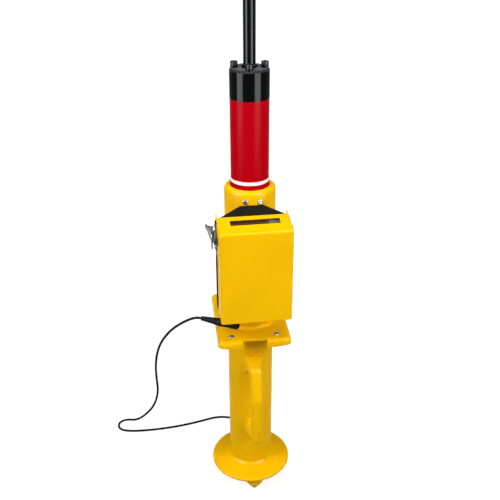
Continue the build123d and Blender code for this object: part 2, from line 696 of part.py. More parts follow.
GASKET_LEVEL = BOX_SHEET
PANE_LEVEL = GASKET_LEVEL + GASKET_THICKNESS
DISPLAY_LEVEL = PANE_LEVEL + PANE_THICKNESS
DISPLAY_BOARD_LEVEL = DISPLAY_LEVEL + DISPLAY_THICKNESS
PANE_WIDTH = WINDOW_WIDTH + 2 * WINDOW_MARGIN
PANE_DEPTH = WINDOW_DEPTH + 2 * WINDOW_MARGIN


def make_window_gasket():
    gasket = under_window(PANE_WIDTH, PANE_DEPTH, GASKET_THICKNESS, GASKET_LEVEL)
    return readout(gasket - under_window(WINDOW_WIDTH, WINDOW_DEPTH, GASKET_THICKNESS, GASKET_LEVEL))


def make_display_window():
    pane = under_window(PANE_WIDTH, PANE_DEPTH, PANE_THICKNESS, PANE_LEVEL)
    face_width = WINDOW_WIDTH - 2 * HOLE_CLEARANCE
    face_depth = WINDOW_DEPTH - 2 * HOLE_CLEARANCE
    return readout(pane + under_window(face_width, face_depth, PANE_LEVEL - WINDOW_SINK, WINDOW_SINK))


def make_value_display():
    x = (VALUE_DISPLAY_WIDTH - WINDOW_WIDTH) / 2
    return readout(under_window(VALUE_DISPLAY_WIDTH, PANE_DEPTH, DISPLAY_THICKNESS, DISPLAY_LEVEL, x))


def make_drop_display():
    x = (WINDOW_WIDTH - DROP_DISPLAY_WIDTH) / 2
    return readout(under_window(DROP_DISPLAY_WIDTH, PANE_DEPTH, DISPLAY_THICKNESS, DISPLAY_LEVEL, x))


def make_display_board():
    return readout(under_window(DISPLAY_BOARD_WIDTH, PANE_DEPTH, BOARD_SHEET, DISPLAY_BOARD_LEVEL))


def make_display_studs():
    x = DISPLAY_BOARD_WIDTH / 2 - DISPLAY_STUD_DIAMETER / 2
    length = DISPLAY_BOARD_LEVEL - GASKET_LEVEL
    stud = Cylinder(DISPLAY_STUD_DIAMETER / 2, length)
    place = window_plane(GASKET_LEVEL + length / 2)
    return group(readout(place * Pos(side * x, 0, 0) * stud) for side in (-1, 1))


# Electronics
BOARD_Y = TRAY_WALL_Y - STANDOFF_LENGTH - BOARD_SHEET
BOARD_Z = BOX_BOTTOM + BOARD_BOTTOM
BOARD_WIDTH = BOX_WIDTH - 2 * (BOX_SHEET + BOARD_SIDE_MARGIN)
BOARD_HEIGHT = TRAY_TOP - BOX_SHEET - BOARD_TOP_MARGIN - BOARD_Z


def standoff_places():
    x = BOARD_WIDTH / 2 - STANDOFF_INSET
    low = BOARD_Z + STANDOFF_INSET
    high = BOARD_Z + BOARD_HEIGHT - STANDOFF_INSET
    corners = [(side * x, TRAY_WALL_Y, z) for side in (-1, 1) for z in (low, high)]
    return [Plane(origin=corner, z_dir=(0, -1, 0)) for corner in corners]


def make_board_standoffs():
    post = cylinder(STANDOFF_DIAMETER / 2, 0, STANDOFF_LENGTH)
    return group(readout(place * post) for place in standoff_places())


def make_circuit_board():
    half = BOARD_WIDTH / 2
    return readout(block(-half, half, BOARD_Y, BOARD_Y + BOARD_SHEET, BOARD_Z, BOARD_Z + BOARD_HEIGHT))


def make_board_chips():
    middle = BOARD_Z + BOARD_HEIGHT / 2
    eighth = BOARD_HEIGHT / 8
    wide = BOARD_WIDTH / 5
    chips = []
    for column in (-1, 1):
        for row in (-2, 0, 2):
            left = column * wide - wide / 2
            low = middle + row * eighth - eighth / 2
            chip = block(left, left + wide, BOARD_Y - CHIP_HEIGHT, BOARD_Y, low, low + eighth)
            chips.append(readout(chip))
    return group(chips)


HOLDER_PITCH = CELL_DIAMETER + CELL_CLEARANCE
HOLDER_FLOOR = BOX_BOTTOM + BOX_SHEET
HOLDER_RIGHT = SHELF_HALF - HOLDER_RIGHT_MARGIN
HOLDER_LEFT = HOLDER_RIGHT - CELL_LENGTH - CELL_CLEARANCE - 2 * HOLDER_WALL
HOLDER_DEPTH = CELL_ROWS * HOLDER_PITCH + CELL_CLEARANCE + 2 * HOLDER_WALL
HOLDER_FRONT_Y = SHELF_FRONT_Y + HOLDER_WALL
HOLDER_TOP = HOLDER_FLOOR + HOLDER_WALL + CELL_LAYERS * HOLDER_PITCH


def make_battery_holder():
    holder = block(HOLDER_LEFT, HOLDER_RIGHT, HOLDER_FRONT_Y, HOLDER_FRONT_Y + HOLDER_DEPTH,
                   HOLDER_FLOOR, HOLDER_TOP)
    holder -= block(HOLDER_LEFT + HOLDER_WALL, HOLDER_RIGHT - HOLDER_WALL, HOLDER_FRONT_Y + HOLDER_WALL,
                    HOLDER_FRONT_Y + HOLDER_DEPTH - HOLDER_WALL, HOLDER_FLOOR + HOLDER_WALL, HOLDER_TOP)
    return readout(holder)


def make_battery_cells():
    start = HOLDER_LEFT + HOLDER_WALL
    first_y = HOLDER_FRONT_Y + HOLDER_WALL + CELL_CLEARANCE + CELL_DIAMETER / 2
    first_z = HOLDER_FLOOR + HOLDER_WALL + CELL_DIAMETER / 2
    cells = []
    for row in range(CELL_ROWS):
        for layer in range(CELL_LAYERS):
            end = (start, first_y + row * HOLDER_PITCH, first_z + layer * HOLDER_PITCH)
            cell = Plane(origin=end, z_dir=(1, 0, 0)) * cylinder(CELL_DIAMETER / 2, 0, CELL_LENGTH)
            cells.append(readout(cell))
    return group(cells)


# Cover hinge on the right side
def hinge_leaf(first_knuckle, side):
    """One leaf with every second knuckle: side -1 lies on the cover, side +1 on the tray."""
    pitch = HINGE_LENGTH / HINGE_KNUCKLES
    near = HINGE_Y + side * (HINGE_BARREL_DIAMETER / 2 + COVER_GAP)
    far = near + side * HINGE_LEAF_WIDTH
    leaf = block(BOX_HALF, BOX_HALF + HINGE_LEAF_SHEET, min(near, far), max(near, far),
                 HINGE_BOTTOM, HINGE_BOTTOM + HINGE_LENGTH)
    for index in range(first_knuckle, HINGE_KNUCKLES, 2):
        low = HINGE_BOTTOM + index * pitch + HINGE_KNUCKLE_GAP / 2
        high = low + pitch - HINGE_KNUCKLE_GAP
        leaf += cylinder(HINGE_BARREL_DIAMETER / 2, low, high, HINGE_X, HINGE_Y)
        outer = HINGE_X - HINGE_BARREL_DIAMETER / 2 + HINGE_LEAF_SHEET
        arm_x = BOX_HALF + COVER_GAP
        leaf += block(arm_x, outer, min(near, HINGE_Y), max(near, HINGE_Y), low, high)
    bore = HINGE_PIN_DIAMETER / 2 + (RUNNING_CLEARANCE if side < 0 else 0)
    return readout(leaf - cylinder(bore, HINGE_BOTTOM, HINGE_BOTTOM + HINGE_LENGTH, HINGE_X, HINGE_Y))


def make_hinge_pin():
    top = HINGE_BOTTOM + HINGE_LENGTH
    return readout(cylinder(HINGE_PIN_DIAMETER / 2, HINGE_BOTTOM, top, HINGE_X, HINGE_Y))


# Draw latch on the left side
LEVER_BOTTOM = LATCH_Z - LATCH_LEVER_HEIGHT / 2
LEVER_TOP = LATCH_Z + LATCH_LEVER_HEIGHT / 2
PIN_R = LATCH_PIN_DIAMETER / 2
BARREL_R = PIN_R + RUNNING_CLEARANCE + LATCH_BARREL_WALL
BASE_X = -BOX_HALF - LATCH_BASE_SHEET
BASE_BOTTOM = LEVER_TOP + LATCH_EAR_GAP + LATCH_BASE_ABOVE - LATCH_BASE_LENGTH


def base_ears():
    """Lower and upper level of each of the two ears that hold the latch pin."""
    low = LEVER_BOTTOM - LATCH_EAR_GAP
    high = LEVER_TOP + LATCH_EAR_GAP
    return [(low - LATCH_EAR_SHEET, low), (high, high + LATCH_EAR_SHEET)]


def latch_rivet_places():
    middle = (TRAY_FRONT_Y + TRAY_BACK_Y) / 2
    levels = (BASE_BOTTOM + RIVET_MARGIN, BASE_BOTTOM + RIVET_MARGIN + RIVET_PITCH,
              BASE_BOTTOM + LATCH_BASE_LENGTH - RIVET_MARGIN)
    return [Plane(origin=(BASE_X, middle, z), z_dir=(-1, 0, 0)) for z in levels]


def make_latch_base():
    back = TRAY_BACK_Y - COVER_GAP
    base = block(BASE_X, -BOX_HALF, TRAY_FRONT_Y, back, BASE_BOTTOM, BASE_BOTTOM + LATCH_BASE_LENGTH)
    for low, high in base_ears():
        base += block(LATCH_X, BASE_X, LATCH_Y - BARREL_R, LATCH_Y + BARREL_R, low, high)
        base += cylinder(BARREL_R, low, high, LATCH_X, LATCH_Y)
    return readout(base - cylinder(PIN_R, BASE_BOTTOM, BASE_BOTTOM + LATCH_BASE_LENGTH, LATCH_X, LATCH_Y))


def make_latch_pin():
    low = base_ears()[0][0]
    high = base_ears()[1][1]
    return readout(cylinder(PIN_R, low, high, LATCH_X, LATCH_Y))


def rivet():
    head = cylinder(RIVET_DIAMETER / 2, 0, RIVET_HEIGHT)
    return fillet(head.edges().group_by(Axis.Z)[-1], RIVET_ROUND)


def make_latch_rivets():
    return group(readout(place * rivet()) for place in latch_rivet_places())


def lever_turned(shape):
    """Swing a shape that is drawn with the lever closed out to the lever's rest angle."""
    return Pos(LATCH_X, LATCH_Y, 0) * Rot(0, 0, LATCH_LEVER_ANGLE) * shape


def make_latch_lever():
    outer = -BARREL_R
    inner = outer + LATCH_LEVER_SHEET
    lever = cylinder(BARREL_R, LEVER_BOTTOM, LEVER_TOP)
    lever += block(outer, inner, 0, LATCH_LEVER_LENGTH, LEVER_BOTTOM, LEVER_TOP)
    cheek_end = BAIL_PIVOT_OFFSET + BAIL_WIRE
    cheek = [
        (outer, 0), (BAIL_WIRE, 0), (BAIL_WIRE, cheek_end), (LATCH_CHEEK_WIDTH, cheek_end + LATCH_CHEEK_WIDTH),
        (LATCH_CHEEK_WIDTH, LATCH_LEVER_LENGTH - LATCH_CHEEK_WIDTH), (outer, LATCH_LEVER_LENGTH),
    ]
    for low in (LEVER_BOTTOM, LEVER_TOP - LATCH_LEVER_SHEET):
        lever += plan_shape(cheek, low, low + LATCH_LEVER_SHEET)
    tab = block(0, LATCH_LEVER_SHEET, 0, LATCH_TAB_LENGTH, LEVER_BOTTOM, LEVER_TOP)
    lever += Pos(outer, LATCH_LEVER_LENGTH - LATCH_LEVER_SHEET, 0) * Rot(0, 0, LATCH_TAB_ANGLE) * tab
    end = LATCH_LEVER_LENGTH + LATCH_TAB_LENGTH
    under = [(LATCH_TAPER_START, LEVER_BOTTOM), (end, LEVER_BOTTOM), (end, LEVER_TOP - LATCH_TAB_HEIGHT)]
    lever -= side_shape(under, LATCH_LEVER_LENGTH)
    lever -= cylinder(PIN_R + RUNNING_CLEARANCE, LEVER_BOTTOM, LEVER_TOP)
    bail_hole = BAIL_WIRE / 2 + RUNNING_CLEARANCE
    for low in (LEVER_BOTTOM, LEVER_TOP - LATCH_LEVER_SHEET):
        lever -= cylinder(bail_hole, low, low + LATCH_LEVER_SHEET, 0, BAIL_PIVOT_OFFSET)
    return readout(lever_turned(lever))


BAIL_ARM = LATCH_LEVER_HEIGHT / 2 + LATCH_EAR_GAP + LATCH_EAR_SHEET + BAIL_ARM_GAP + BAIL_WIRE / 2


def bail_pivot():
    turn = math.radians(LATCH_LEVER_ANGLE)
    return Vector(LATCH_X, LATCH_Y, LATCH_Z) + Vector(-math.sin(turn), math.cos(turn), 0) * BAIL_PIVOT_OFFSET


def make_latch_bail():
    """A wire loop: two short pivots in the lever, two arms forward and the bar that goes round the keeper."""
    pivot = bail_pivot()
    bar = Vector(-BOX_HALF - BAIL_STANDOFF, LATCH_Y - BAIL_REACH, LATCH_Z)
    arm = Vector(0, 0, BAIL_ARM)
    tail = Vector(0, 0, LATCH_LEVER_HEIGHT / 2 - LATCH_LEVER_SHEET)
    path = FilletPolyline(pivot - tail, pivot - arm, bar - arm, bar + arm, pivot + arm, pivot + tail,
                          radius=[BAIL_WIRE, BAIL_WIRE, BAIL_WIRE, BAIL_WIRE])
    return readout(tube_along(path, BAIL_WIRE / 2))


KEEPER_Y = LATCH_Y - BAIL_REACH + BAIL_WIRE


def make_latch_keeper():
    half = KEEPER_WIDTH / 2
    plate = block(-BOX_HALF - LATCH_LEVER_SHEET, -BOX_HALF, KEEPER_Y - KEEPER_LENGTH / 2,
                  KEEPER_Y + KEEPER_LENGTH / 2, LATCH_Z - half, LATCH_Z + half)
    tip = -BOX_HALF - LATCH_LEVER_SHEET - KEEPER_HOOK
    wall = block(tip, -BOX_HALF, KEEPER_Y, KEEPER_Y + LATCH_LEVER_SHEET, LATCH_Z - half, LATCH_Z + half)
    lip = block(tip, tip + LATCH_LEVER_SHEET, KEEPER_Y - BAIL_WIRE, KEEPER_Y, LATCH_Z - half, LATCH_Z + half)
    return readout(plate + wall + lip)


# Lead: socket, plug and boot
SOCKET_BOTTOM = BOX_BOTTOM - SOCKET_DROP
PLUG_R = PLUG_DIAMETER / 2
PLUG_Z = BOX_BOTTOM - PLUG_DROP + PLUG_R
PLUG_WAY = Vector(-math.cos(math.radians(PLUG_TURN)), math.sin(math.radians(PLUG_TURN)), 0)
PLUG_START = Vector(READOUT_X + SOCKET_X, SOCKET_Y, PLUG_Z)
BOOT_START = PLUG_START + PLUG_WAY * PLUG_LENGTH
BOOT_TIP = BOOT_START + PLUG_WAY * BOOT_LENGTH


def make_lead_socket():
    top = BOX_BOTTOM + BOX_SHEET + SOCKET_INSIDE
    rim = BOX_BOTTOM - SOCKET_FLANGE_HEIGHT
    socket = cylinder(SOCKET_DIAMETER / 2, SOCKET_BOTTOM, top, SOCKET_X, SOCKET_Y)
    socket += cylinder(SOCKET_FLANGE_DIAMETER / 2, rim, BOX_BOTTOM, SOCKET_X, SOCKET_Y)
    return readout(socket)


def make_lead_plug():
    stem = cylinder(PLUG_R, PLUG_Z, SOCKET_BOTTOM, PLUG_START.X, PLUG_START.Y)
    elbow = Pos(*PLUG_START) * Sphere(PLUG_R)
    body = Plane(origin=PLUG_START, z_dir=PLUG_WAY) * cylinder(PLUG_R, 0, PLUG_LENGTH)
    return stem + elbow + body


def make_plug_boot():
    """A tapered boot with grooves round it, as a turned outline."""
    tip = BOOT_TIP_DIAMETER / 2
    step = BOOT_LENGTH / (BOOT_RIBS * 2 + 1)
    points = [(0, 0)]
    for index in range(BOOT_RIBS * 2 + 2):
        along = index * step
        radius = PLUG_R + (tip - PLUG_R) * along / BOOT_LENGTH
        points.append((radius, along))
    points.append((0, BOOT_LENGTH))
    boot = turned(points)
    for index in range(BOOT_RIBS):
        along = (2 * index + 1) * step
        radius = PLUG_R + (tip - PLUG_R) * (along + step / 2) / BOOT_LENGTH
        boot -= ring(PLUG_DIAMETER, radius - BOOT_RIB_DEPTH, along, along + step)
    return Plane(origin=BOOT_START, z_dir=PLUG_WAY) * boot


# Lead: the free cord, its put-away coil with the tie, and the connector at its end
LEAD_R = LEAD_DIAMETER / 2
COIL_PITCH = LEAD_DIAMETER + COIL_GAP
COIL_LOW = TIE_SHEET + TIE_CLEARANCE + LEAD_R
COIL_HIGH = COIL_LOW + COIL_PITCH
COIL_CENTRE = Vector(COIL_X, COIL_Y, COIL_LOW)
COIL_WAY = Vector(math.cos(math.radians(COIL_HEADING)), math.sin(math.radians(COIL_HEADING)), 0)
COIL_OUT = Vector(COIL_WAY.Y, -COIL_WAY.X, 0)
COIL_START = COIL_CENTRE + COIL_OUT * COIL_RADIUS - COIL_WAY * LEAD_DIAMETER


def cord_points():
    start = [BOOT_TIP, BOOT_TIP + PLUG_WAY * CORD_START_RUN]
    end = [COIL_START - COIL_WAY * CORD_END_RUN, COIL_START]
    return start + [Vector(*point) for point in CORD_ROUTE] + end


def bend_radii(points):
    """The largest arc that each corner's two runs allow."""
    radii = []
    for before, corner, after in zip(points, points[1:], points[2:]):
        into = corner - before
        onward = after - corner
        half_turn = math.radians(into.get_angle(onward)) / 2
        radii.append(CORD_ARC_SHARE * min(into.length, onward.length) / math.tan(half_turn))
    return radii


def tube_along(path, radius):
    return sweep(Plane(origin=path @ 0, z_dir=path % 0) * Circle(radius), path=path)


def volume_share(tube, path):
    """The tube's volume as a share of its section times its length."""
    return round(tube.volume / (path.length * math.pi * LEAD_R ** 2), 4)


def make_lead_cord():
    points = cord_points()
    radii = bend_radii(points)
    path = FilletPolyline(*points, radius=radii)
    cord = tube_along(path, LEAD_R)
    print("cord bend radii", [round(radius, 1) for radius in radii])
    print("cord length", round(path.length), "volume share", volume_share(cord, path))
    return cord


def coil_path():
    """Half turns that close in, one that climbs to the upper layer, and half turns that open out again."""
    point = COIL_START + COIL_WAY * LEAD_DIAMETER
    runs = [Line(COIL_START, point)]
    radius = COIL_RADIUS
    side = 1
    for index in range(4 * COIL_TURNS):
        climbs = index == 2 * COIL_TURNS
        end = point - COIL_OUT * (2 * radius * side) + Vector(0, 0, COIL_PITCH if climbs else 0)
        middle = (point + end) / 2 + COIL_WAY * ((end - point).length / 2 * side)
        runs.append(ThreePointArc(point, middle, end))
        point = end
        side = -side
        radius += COIL_PITCH / 2 if index >= 2 * COIL_TURNS else -COIL_PITCH / 2
    turn = math.radians(COIL_EXIT_TURN)
    runs.append(ThreePointArc(point, coil_rim(turn / 2), coil_rim(turn)))
    runs.append(Line(coil_rim(turn), coil_exit()))
    return Wire(runs)


def coil_rim(turn):
    """A point on the upper layer's outermost turn, measured on from where the cord comes in."""
    centre = COIL_CENTRE + Vector(0, 0, COIL_PITCH)
    return centre + COIL_OUT * (COIL_RADIUS * math.cos(turn)) + COIL_WAY * (COIL_RADIUS * math.sin(turn))


def coil_exit_way():
    turn = math.radians(COIL_EXIT_TURN)
    return COIL_WAY * math.cos(turn) - COIL_OUT * math.sin(turn)


def coil_exit():
    return coil_rim(math.radians(COIL_EXIT_TURN)) + coil_exit_way() * COIL_EXIT_RUN


def least_gap(path):
    """The least gap of the wound cord to itself, on points a sixth of its diameter apart."""
    per_diameter = 6
    count = int(path.length / LEAD_DIAMETER * per_diameter)
    points = [tuple(path @ (index / count)) for index in range(count + 1)]
    apart = 4 * per_diameter
    pairs = ((a, b) for index, a in enumerate(points) for b in points[index + apart:])
    return min(math.dist(a, b) for a, b in pairs) - LEAD_DIAMETER


def make_lead_coil():
    path = coil_path()
    coil = tube_along(path, LEAD_R)
    print("coil length", round(path.length), "volume share", volume_share(coil, path))
    print("coil least gap", round(least_gap(path), 2))
    return coil


def make_coil_tie():
    """A band round the turns on the side that the cord neither enters nor leaves by."""
    outer = COIL_RADIUS - COIL_PITCH / 2 + LEAD_R + TIE_CLEARANCE
    inmost = COIL_RADIUS - (COIL_TURNS - 0.5) * COIL_PITCH - LEAD_R
    inner = math.sqrt(inmost ** 2 - (TIE_WIDTH / 2 + COIL_PITCH / 2) ** 2) - TIE_CLEARANCE
    top = COIL_HIGH + LEAD_R + TIE_CLEARANCE
    half = TIE_WIDTH / 2
    band = block(inner - TIE_SHEET, outer + TIE_SHEET, -half, half, 0, top + TIE_SHEET)
    band -= block(inner, outer, -half, half, TIE_SHEET, top)
    return Pos(COIL_X, COIL_Y, 0) * Rot(0, 0, COIL_HEADING + 180) * band


def make_lead_connector():
    """A turned connector that lies on the floor, with a bend relief, a body and a ring nut."""
    nut = COIL_HIGH
    body = CONNECTOR_BODY_DIAMETER / 2
    shoulder = CONNECTOR_TAIL + CONNECTOR_BODY
    end = shoulder + CONNECTOR_NUT
    mouth = nut - CONNECTOR_MOUTH_WALL
    floor = end - CONNECTOR_MOUTH_DEPTH
    connector = turned([
        (0, 0), (BOOT_TIP_DIAMETER / 2, 0), (body, CONNECTOR_TAIL), (body, shoulder), (nut, shoulder),
        (nut, end), (mouth, end), (mouth, floor), (0, floor),
    ])
    return Plane(origin=coil_exit(), z_dir=coil_exit_way()) * connector


# Hammer
def cap_screw_places():
    return PolarLocations(HAMMER_R - CAP_SCREW_INSET, CAP_SCREW_COUNT, start_angle=CAP_SCREW_TURN)


def make_hammer_body():
    body = cylinder(HAMMER_R, FACE_Z, BODY_TOP)
    body = chamfer(body.edges().group_by(Axis.Z)[0], FACE_CHAMFER)
    body -= ring(HAMMER_R, HAMMER_R - RING_GROOVE, RING_BOTTOM, RING_BOTTOM + RING_WIDTH)
    body -= cylinder(SENSOR_POCKET_DIAMETER / 2, SENSOR_FLOOR, BODY_TOP)
    body -= cylinder(SENSOR_STUD_DIAMETER / 2, SENSOR_FLOOR - SENSOR_STUD_LENGTH, SENSOR_FLOOR)
    for place in cap_screw_places():
        body -= place * cylinder(CAP_SCREW_DIAMETER / 2, BODY_TOP - CAP_SCREW_BITE, BODY_TOP)
    return body


def make_drop_mark_ring():
    return ring(HAMMER_R + RING_PROUD, HAMMER_R - RING_GROOVE, RING_BOTTOM, RING_BOTTOM + RING_WIDTH)


def make_hammer_cap():
    cap = cylinder(CAP_R, BODY_TOP, CAP_TOP)
    cap = chamfer(cap.edges().group_by(Axis.Z)[-1], CAP_BEVEL)
    cap -= cylinder(SENSOR_POCKET_DIAMETER / 2, BODY_TOP, BODY_TOP + CAP_POCKET_DEPTH)
    cap -= cylinder(ROD_DIAMETER / 2, BODY_TOP, CAP_TOP)
    for place in cap_screw_places():
        cap -= place * cylinder(CAP_SCREW_DIAMETER / 2, BODY_TOP, CAP_TOP)
    return cap


def make_cap_spacers():
    spacer = ring(CAP_SPACER_DIAMETER / 2, CAP_SCREW_DIAMETER / 2, CAP_TOP, CAP_TOP + CAP_SPACER_HEIGHT)
    return group(place * spacer for place in cap_screw_places())


def make_cap_screws():
    seat = CAP_TOP + CAP_SPACER_HEIGHT
    top = seat + CAP_SCREW_HEAD_HEIGHT
    head = cylinder(CAP_SCREW_HEAD_DIAMETER / 2, seat, top)
    head = fillet(head.edges().group_by(Axis.Z)[-1], CAP_SCREW_HEAD_ROUND)
    socket = extrude(RegularPolygon(CAP_SCREW_SOCKET / 2, 6, major_radius=False), CAP_SCREW_HEAD_HEIGHT / 2)
    screw = head - Pos(0, 0, top - CAP_SCREW_HEAD_HEIGHT / 2) * socket
    screw += cylinder(CAP_SCREW_DIAMETER / 2, BODY_TOP - CAP_SCREW_BITE, seat)
    return group(place * screw for place in cap_screw_places())


def make_accelerometer():
    hexagon = extrude(RegularPolygon(SENSOR_DIAMETER / 2, 6), SENSOR_HEX_HEIGHT)
    can = cylinder(SENSOR_DIAMETER / 2 * math.cos(math.pi / 6), SENSOR_FLOOR, SENSOR_FLOOR + SENSOR_HEIGHT)
    return Pos(0, 0, SENSOR_FLOOR) * hexagon + can


def make_sensor_stud():
    return cylinder(SENSOR_STUD_DIAMETER / 2, SENSOR_FLOOR - SENSOR_STUD_LENGTH, SENSOR_FLOOR)


def make_sensor_wire():
    return cylinder(SENSOR_WIRE_DIAMETER / 2, SENSOR_FLOOR + SENSOR_HEIGHT, GRIP_TOP)


def make_handle_rod():
    return ring(ROD_DIAMETER / 2, ROD_BORE / 2, BODY_TOP + CAP_POCKET_DEPTH, GRIP_TOP)


def make_rod_nut():
    nut = extrude(RegularPolygon(ROD_NUT_DIAMETER / 2, 6), ROD_NUT_HEIGHT)
    return Pos(0, 0, CAP_TOP) * nut - cylinder(ROD_DIAMETER / 2, CAP_TOP, CAP_TOP + ROD_NUT_HEIGHT)


def make_handle_grip():
    grip = cylinder(GRIP_DIAMETER / 2, GRIP_BOTTOM, GRIP_TOP)
    grip = fillet(grip.edges().group_by(Axis.Z)[0], GRIP_ROUND)
    pitch = GRIP_LENGTH / (GRIP_RINGS + 1)
    for index in range(GRIP_RINGS):
        middle = GRIP_BOTTOM + (index + 1) * pitch
        grip -= ring(GRIP_DIAMETER / 2, GRIP_DIAMETER / 2 - GRIP_RING_DEPTH,
                     middle - GRIP_RING_WIDTH / 2, middle + GRIP_RING_WIDTH / 2)
    return grip - cylinder(ROD_DIAMETER / 2, GRIP_BOTTOM, GRIP_TOP)


def make_grip_end_cap():
    cap = cylinder(GRIP_DIAMETER / 2, GRIP_TOP, END_CAP_TOP)
    cap = fillet(cap.edges().group_by(Axis.Z)[-1], GRIP_ROUND)
    return cap - cylinder(HANDLE_SOCKET_DIAMETER / 2, GRIP_TOP, END_CAP_TOP)


def make_handle_socket():
    socket = cylinder(HANDLE_SOCKET_DIAMETER / 2, GRIP_TOP, END_CAP_TOP + HANDLE_SOCKET_HEIGHT)
    hollow = HANDLE_SOCKET_DIAMETER / 2 - BOX_SHEET
    return socket - cylinder(hollow, END_CAP_TOP, END_CAP_TOP + HANDLE_SOCKET_HEIGHT)


PIECES = {
    "ground_spikes": make_ground_spikes,
    "base_flange": make_base_flange,
    "guide_tube": make_guide_tube,
    "guide_collar": make_guide_collar,
    "carry_handle": make_carry_handle,
    "handle_screws": make_handle_screws,
    "support_plate": make_support_plate,
    "plate_yoke": make_plate_yoke,
    "plate_screws": make_plate_screws,
    "hanger_saddle": make_hanger_saddle,
    "hanger_screws": make_hanger_screws,
    "lower_spacer": make_lower_spacer,
    "tray_screws": make_tray_screws,
    "readout_tray": make_readout_tray,
    "rear_hood": make_rear_hood,
    "circuit_board": make_circuit_board,
    "board_standoffs": make_board_standoffs,
    "board_chips": make_board_chips,
    "battery_holder": make_battery_holder,
    "battery_cells": make_battery_cells,
    "readout_cover": make_readout_cover,
    "window_gasket": make_window_gasket,
    "display_window": make_display_window,
    "value_display": make_value_display,
    "drop_display": make_drop_display,
    "display_board": make_display_board,
    "display_studs": make_display_studs,
    "hinge_tray_leaf": lambda: hinge_leaf(0, 1),
    "hinge_cover_leaf": lambda: hinge_leaf(1, -1),
    "hinge_pin": make_hinge_pin,
    "latch_base": make_latch_base,
    "latch_pin": make_latch_pin,
    "latch_rivets": make_latch_rivets,
    "latch_lever": make_latch_lever,
    "latch_bail": make_latch_bail,
    "latch_keeper": make_latch_keeper,
    "lead_socket": make_lead_socket,
    "lead_plug": make_lead_plug,
    "plug_boot": make_plug_boot,
    "lead_cord": make_lead_cord,
    "lead_coil": make_lead_coil,
    "coil_tie": make_coil_tie,
    "lead_connector": make_lead_connector,
    "hammer_body": make_hammer_body,
    "drop_mark_ring": make_drop_mark_ring,
    "hammer_cap": make_hammer_cap,
    "cap_spacers": make_cap_spacers,
    "cap_screws": make_cap_screws,
    "accelerometer": make_accelerometer,
    "sensor_stud": make_sensor_stud,
    "sensor_wire": make_sensor_wire,
    "handle_rod": make_handle_rod,
    "rod_nut": make_rod_nut,
    "handle_grip": make_handle_grip,
    "grip_end_cap": make_grip_end_cap,
    "handle_socket": make_handle_socket,
}


os.makedirs("parts", exist_ok=True)
for name, make in PIECES.items():
    export_step(make(), f"parts/{name}.step")
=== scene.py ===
"""Looks of the drop-hammer soil tester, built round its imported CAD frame.

Objects are in metres, +Z up, front towards -Y. The values for the camera, the lead and the trim are in millimetres,
those for materials, floor and lamps in metres.
"""

import json
import math

import bpy
from mathutils import Matrix, Vector


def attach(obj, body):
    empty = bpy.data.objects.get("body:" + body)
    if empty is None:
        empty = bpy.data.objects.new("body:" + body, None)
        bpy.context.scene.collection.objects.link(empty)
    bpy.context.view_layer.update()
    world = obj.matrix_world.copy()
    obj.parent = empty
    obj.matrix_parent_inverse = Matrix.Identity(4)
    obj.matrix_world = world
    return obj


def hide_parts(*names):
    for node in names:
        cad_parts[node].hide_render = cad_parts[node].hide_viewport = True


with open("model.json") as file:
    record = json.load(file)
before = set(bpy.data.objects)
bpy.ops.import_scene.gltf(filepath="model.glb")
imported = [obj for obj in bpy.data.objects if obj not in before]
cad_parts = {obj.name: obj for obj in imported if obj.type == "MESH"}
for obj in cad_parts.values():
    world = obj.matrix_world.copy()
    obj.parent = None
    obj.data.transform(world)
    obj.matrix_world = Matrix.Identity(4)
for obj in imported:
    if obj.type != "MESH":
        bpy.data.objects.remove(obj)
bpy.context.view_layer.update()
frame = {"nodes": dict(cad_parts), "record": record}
nodes = frame["nodes"]
scene = bpy.context.scene
MM = 0.001


# Camera at the photograph's viewing angle, its angles in degrees
CAMERA_PLACE = (-127.6, -885.4, 847.5)
CAMERA_LENS = 52.4
CAMERA_SENSOR = 36.0
CAMERA_PITCH = 26.81
CAMERA_YAW = 8.2
CAMERA_ROLL = -0.18


def make_camera():
    data = bpy.data.cameras.new("photo_camera")
    data.sensor_width = CAMERA_SENSOR
    data.lens = CAMERA_LENS
    camera = bpy.data.objects.new("photo_camera", data)
    scene.collection.objects.link(camera)
    turn = Matrix.Rotation(math.radians(-CAMERA_YAW), 4, "Z")
    tilt = Matrix.Rotation(math.radians(90 - CAMERA_PITCH), 4, "X")
    roll = Matrix.Rotation(math.radians(CAMERA_ROLL), 4, "Z")
    place = Matrix.Translation(Vector(CAMERA_PLACE) * MM)
    camera.matrix_world = place @ turn @ tilt @ roll
    scene.camera = camera


make_camera()


# Lead: the route of the part's source, moved a few millimetres to follow the photograph, then the turns of its
# put-away coil, as one smooth spline
LEAD_DIAMETER = 3.6
PLUG_CORNER = Vector((-29.0, -66.0, 317.4))
PLUG_TURN = math.radians(29.4)
PLUG_WAY = Vector((-math.cos(PLUG_TURN), math.sin(PLUG_TURN), 0))
PLUG_AND_BOOT_RUN = 50.0
BOOT_TIP = PLUG_CORNER + PLUG_WAY * PLUG_AND_BOOT_RUN
CORD_START_RUN = 8.0
CORD_END_RUN = 45.0
ON_FLOOR = LEAD_DIAMETER / 2
CORD_ROUTE = [
    (-90.6, -25.4, 306.6), (-101, -14, 294.2), (-116.2, 13, 266.5), (-133.4, 42.8, 223.6),
    (-141.1, 71.2, 171.3), (-141.5, 94.7, 125.1), (-140.3, 112.6, 82.2), (-148.6, 126.5, 44.4), (-165, 137, 17),
    (-182.5, 143, ON_FLOOR), (-200, 148, ON_FLOOR), (-213, 141, ON_FLOOR), (-213, 125, ON_FLOOR),
    (-198, 116, ON_FLOOR), (-162, 113, ON_FLOOR), (-118, 115, ON_FLOOR), (-77, 122, ON_FLOOR),
]
COIL_CENTRE = Vector((21.0, 133.0, 2.8))
COIL_TURNS = 3
COIL_RADIUS = 25.5
COIL_PITCH = 4.2
COIL_HEADING = math.radians(-27.0)
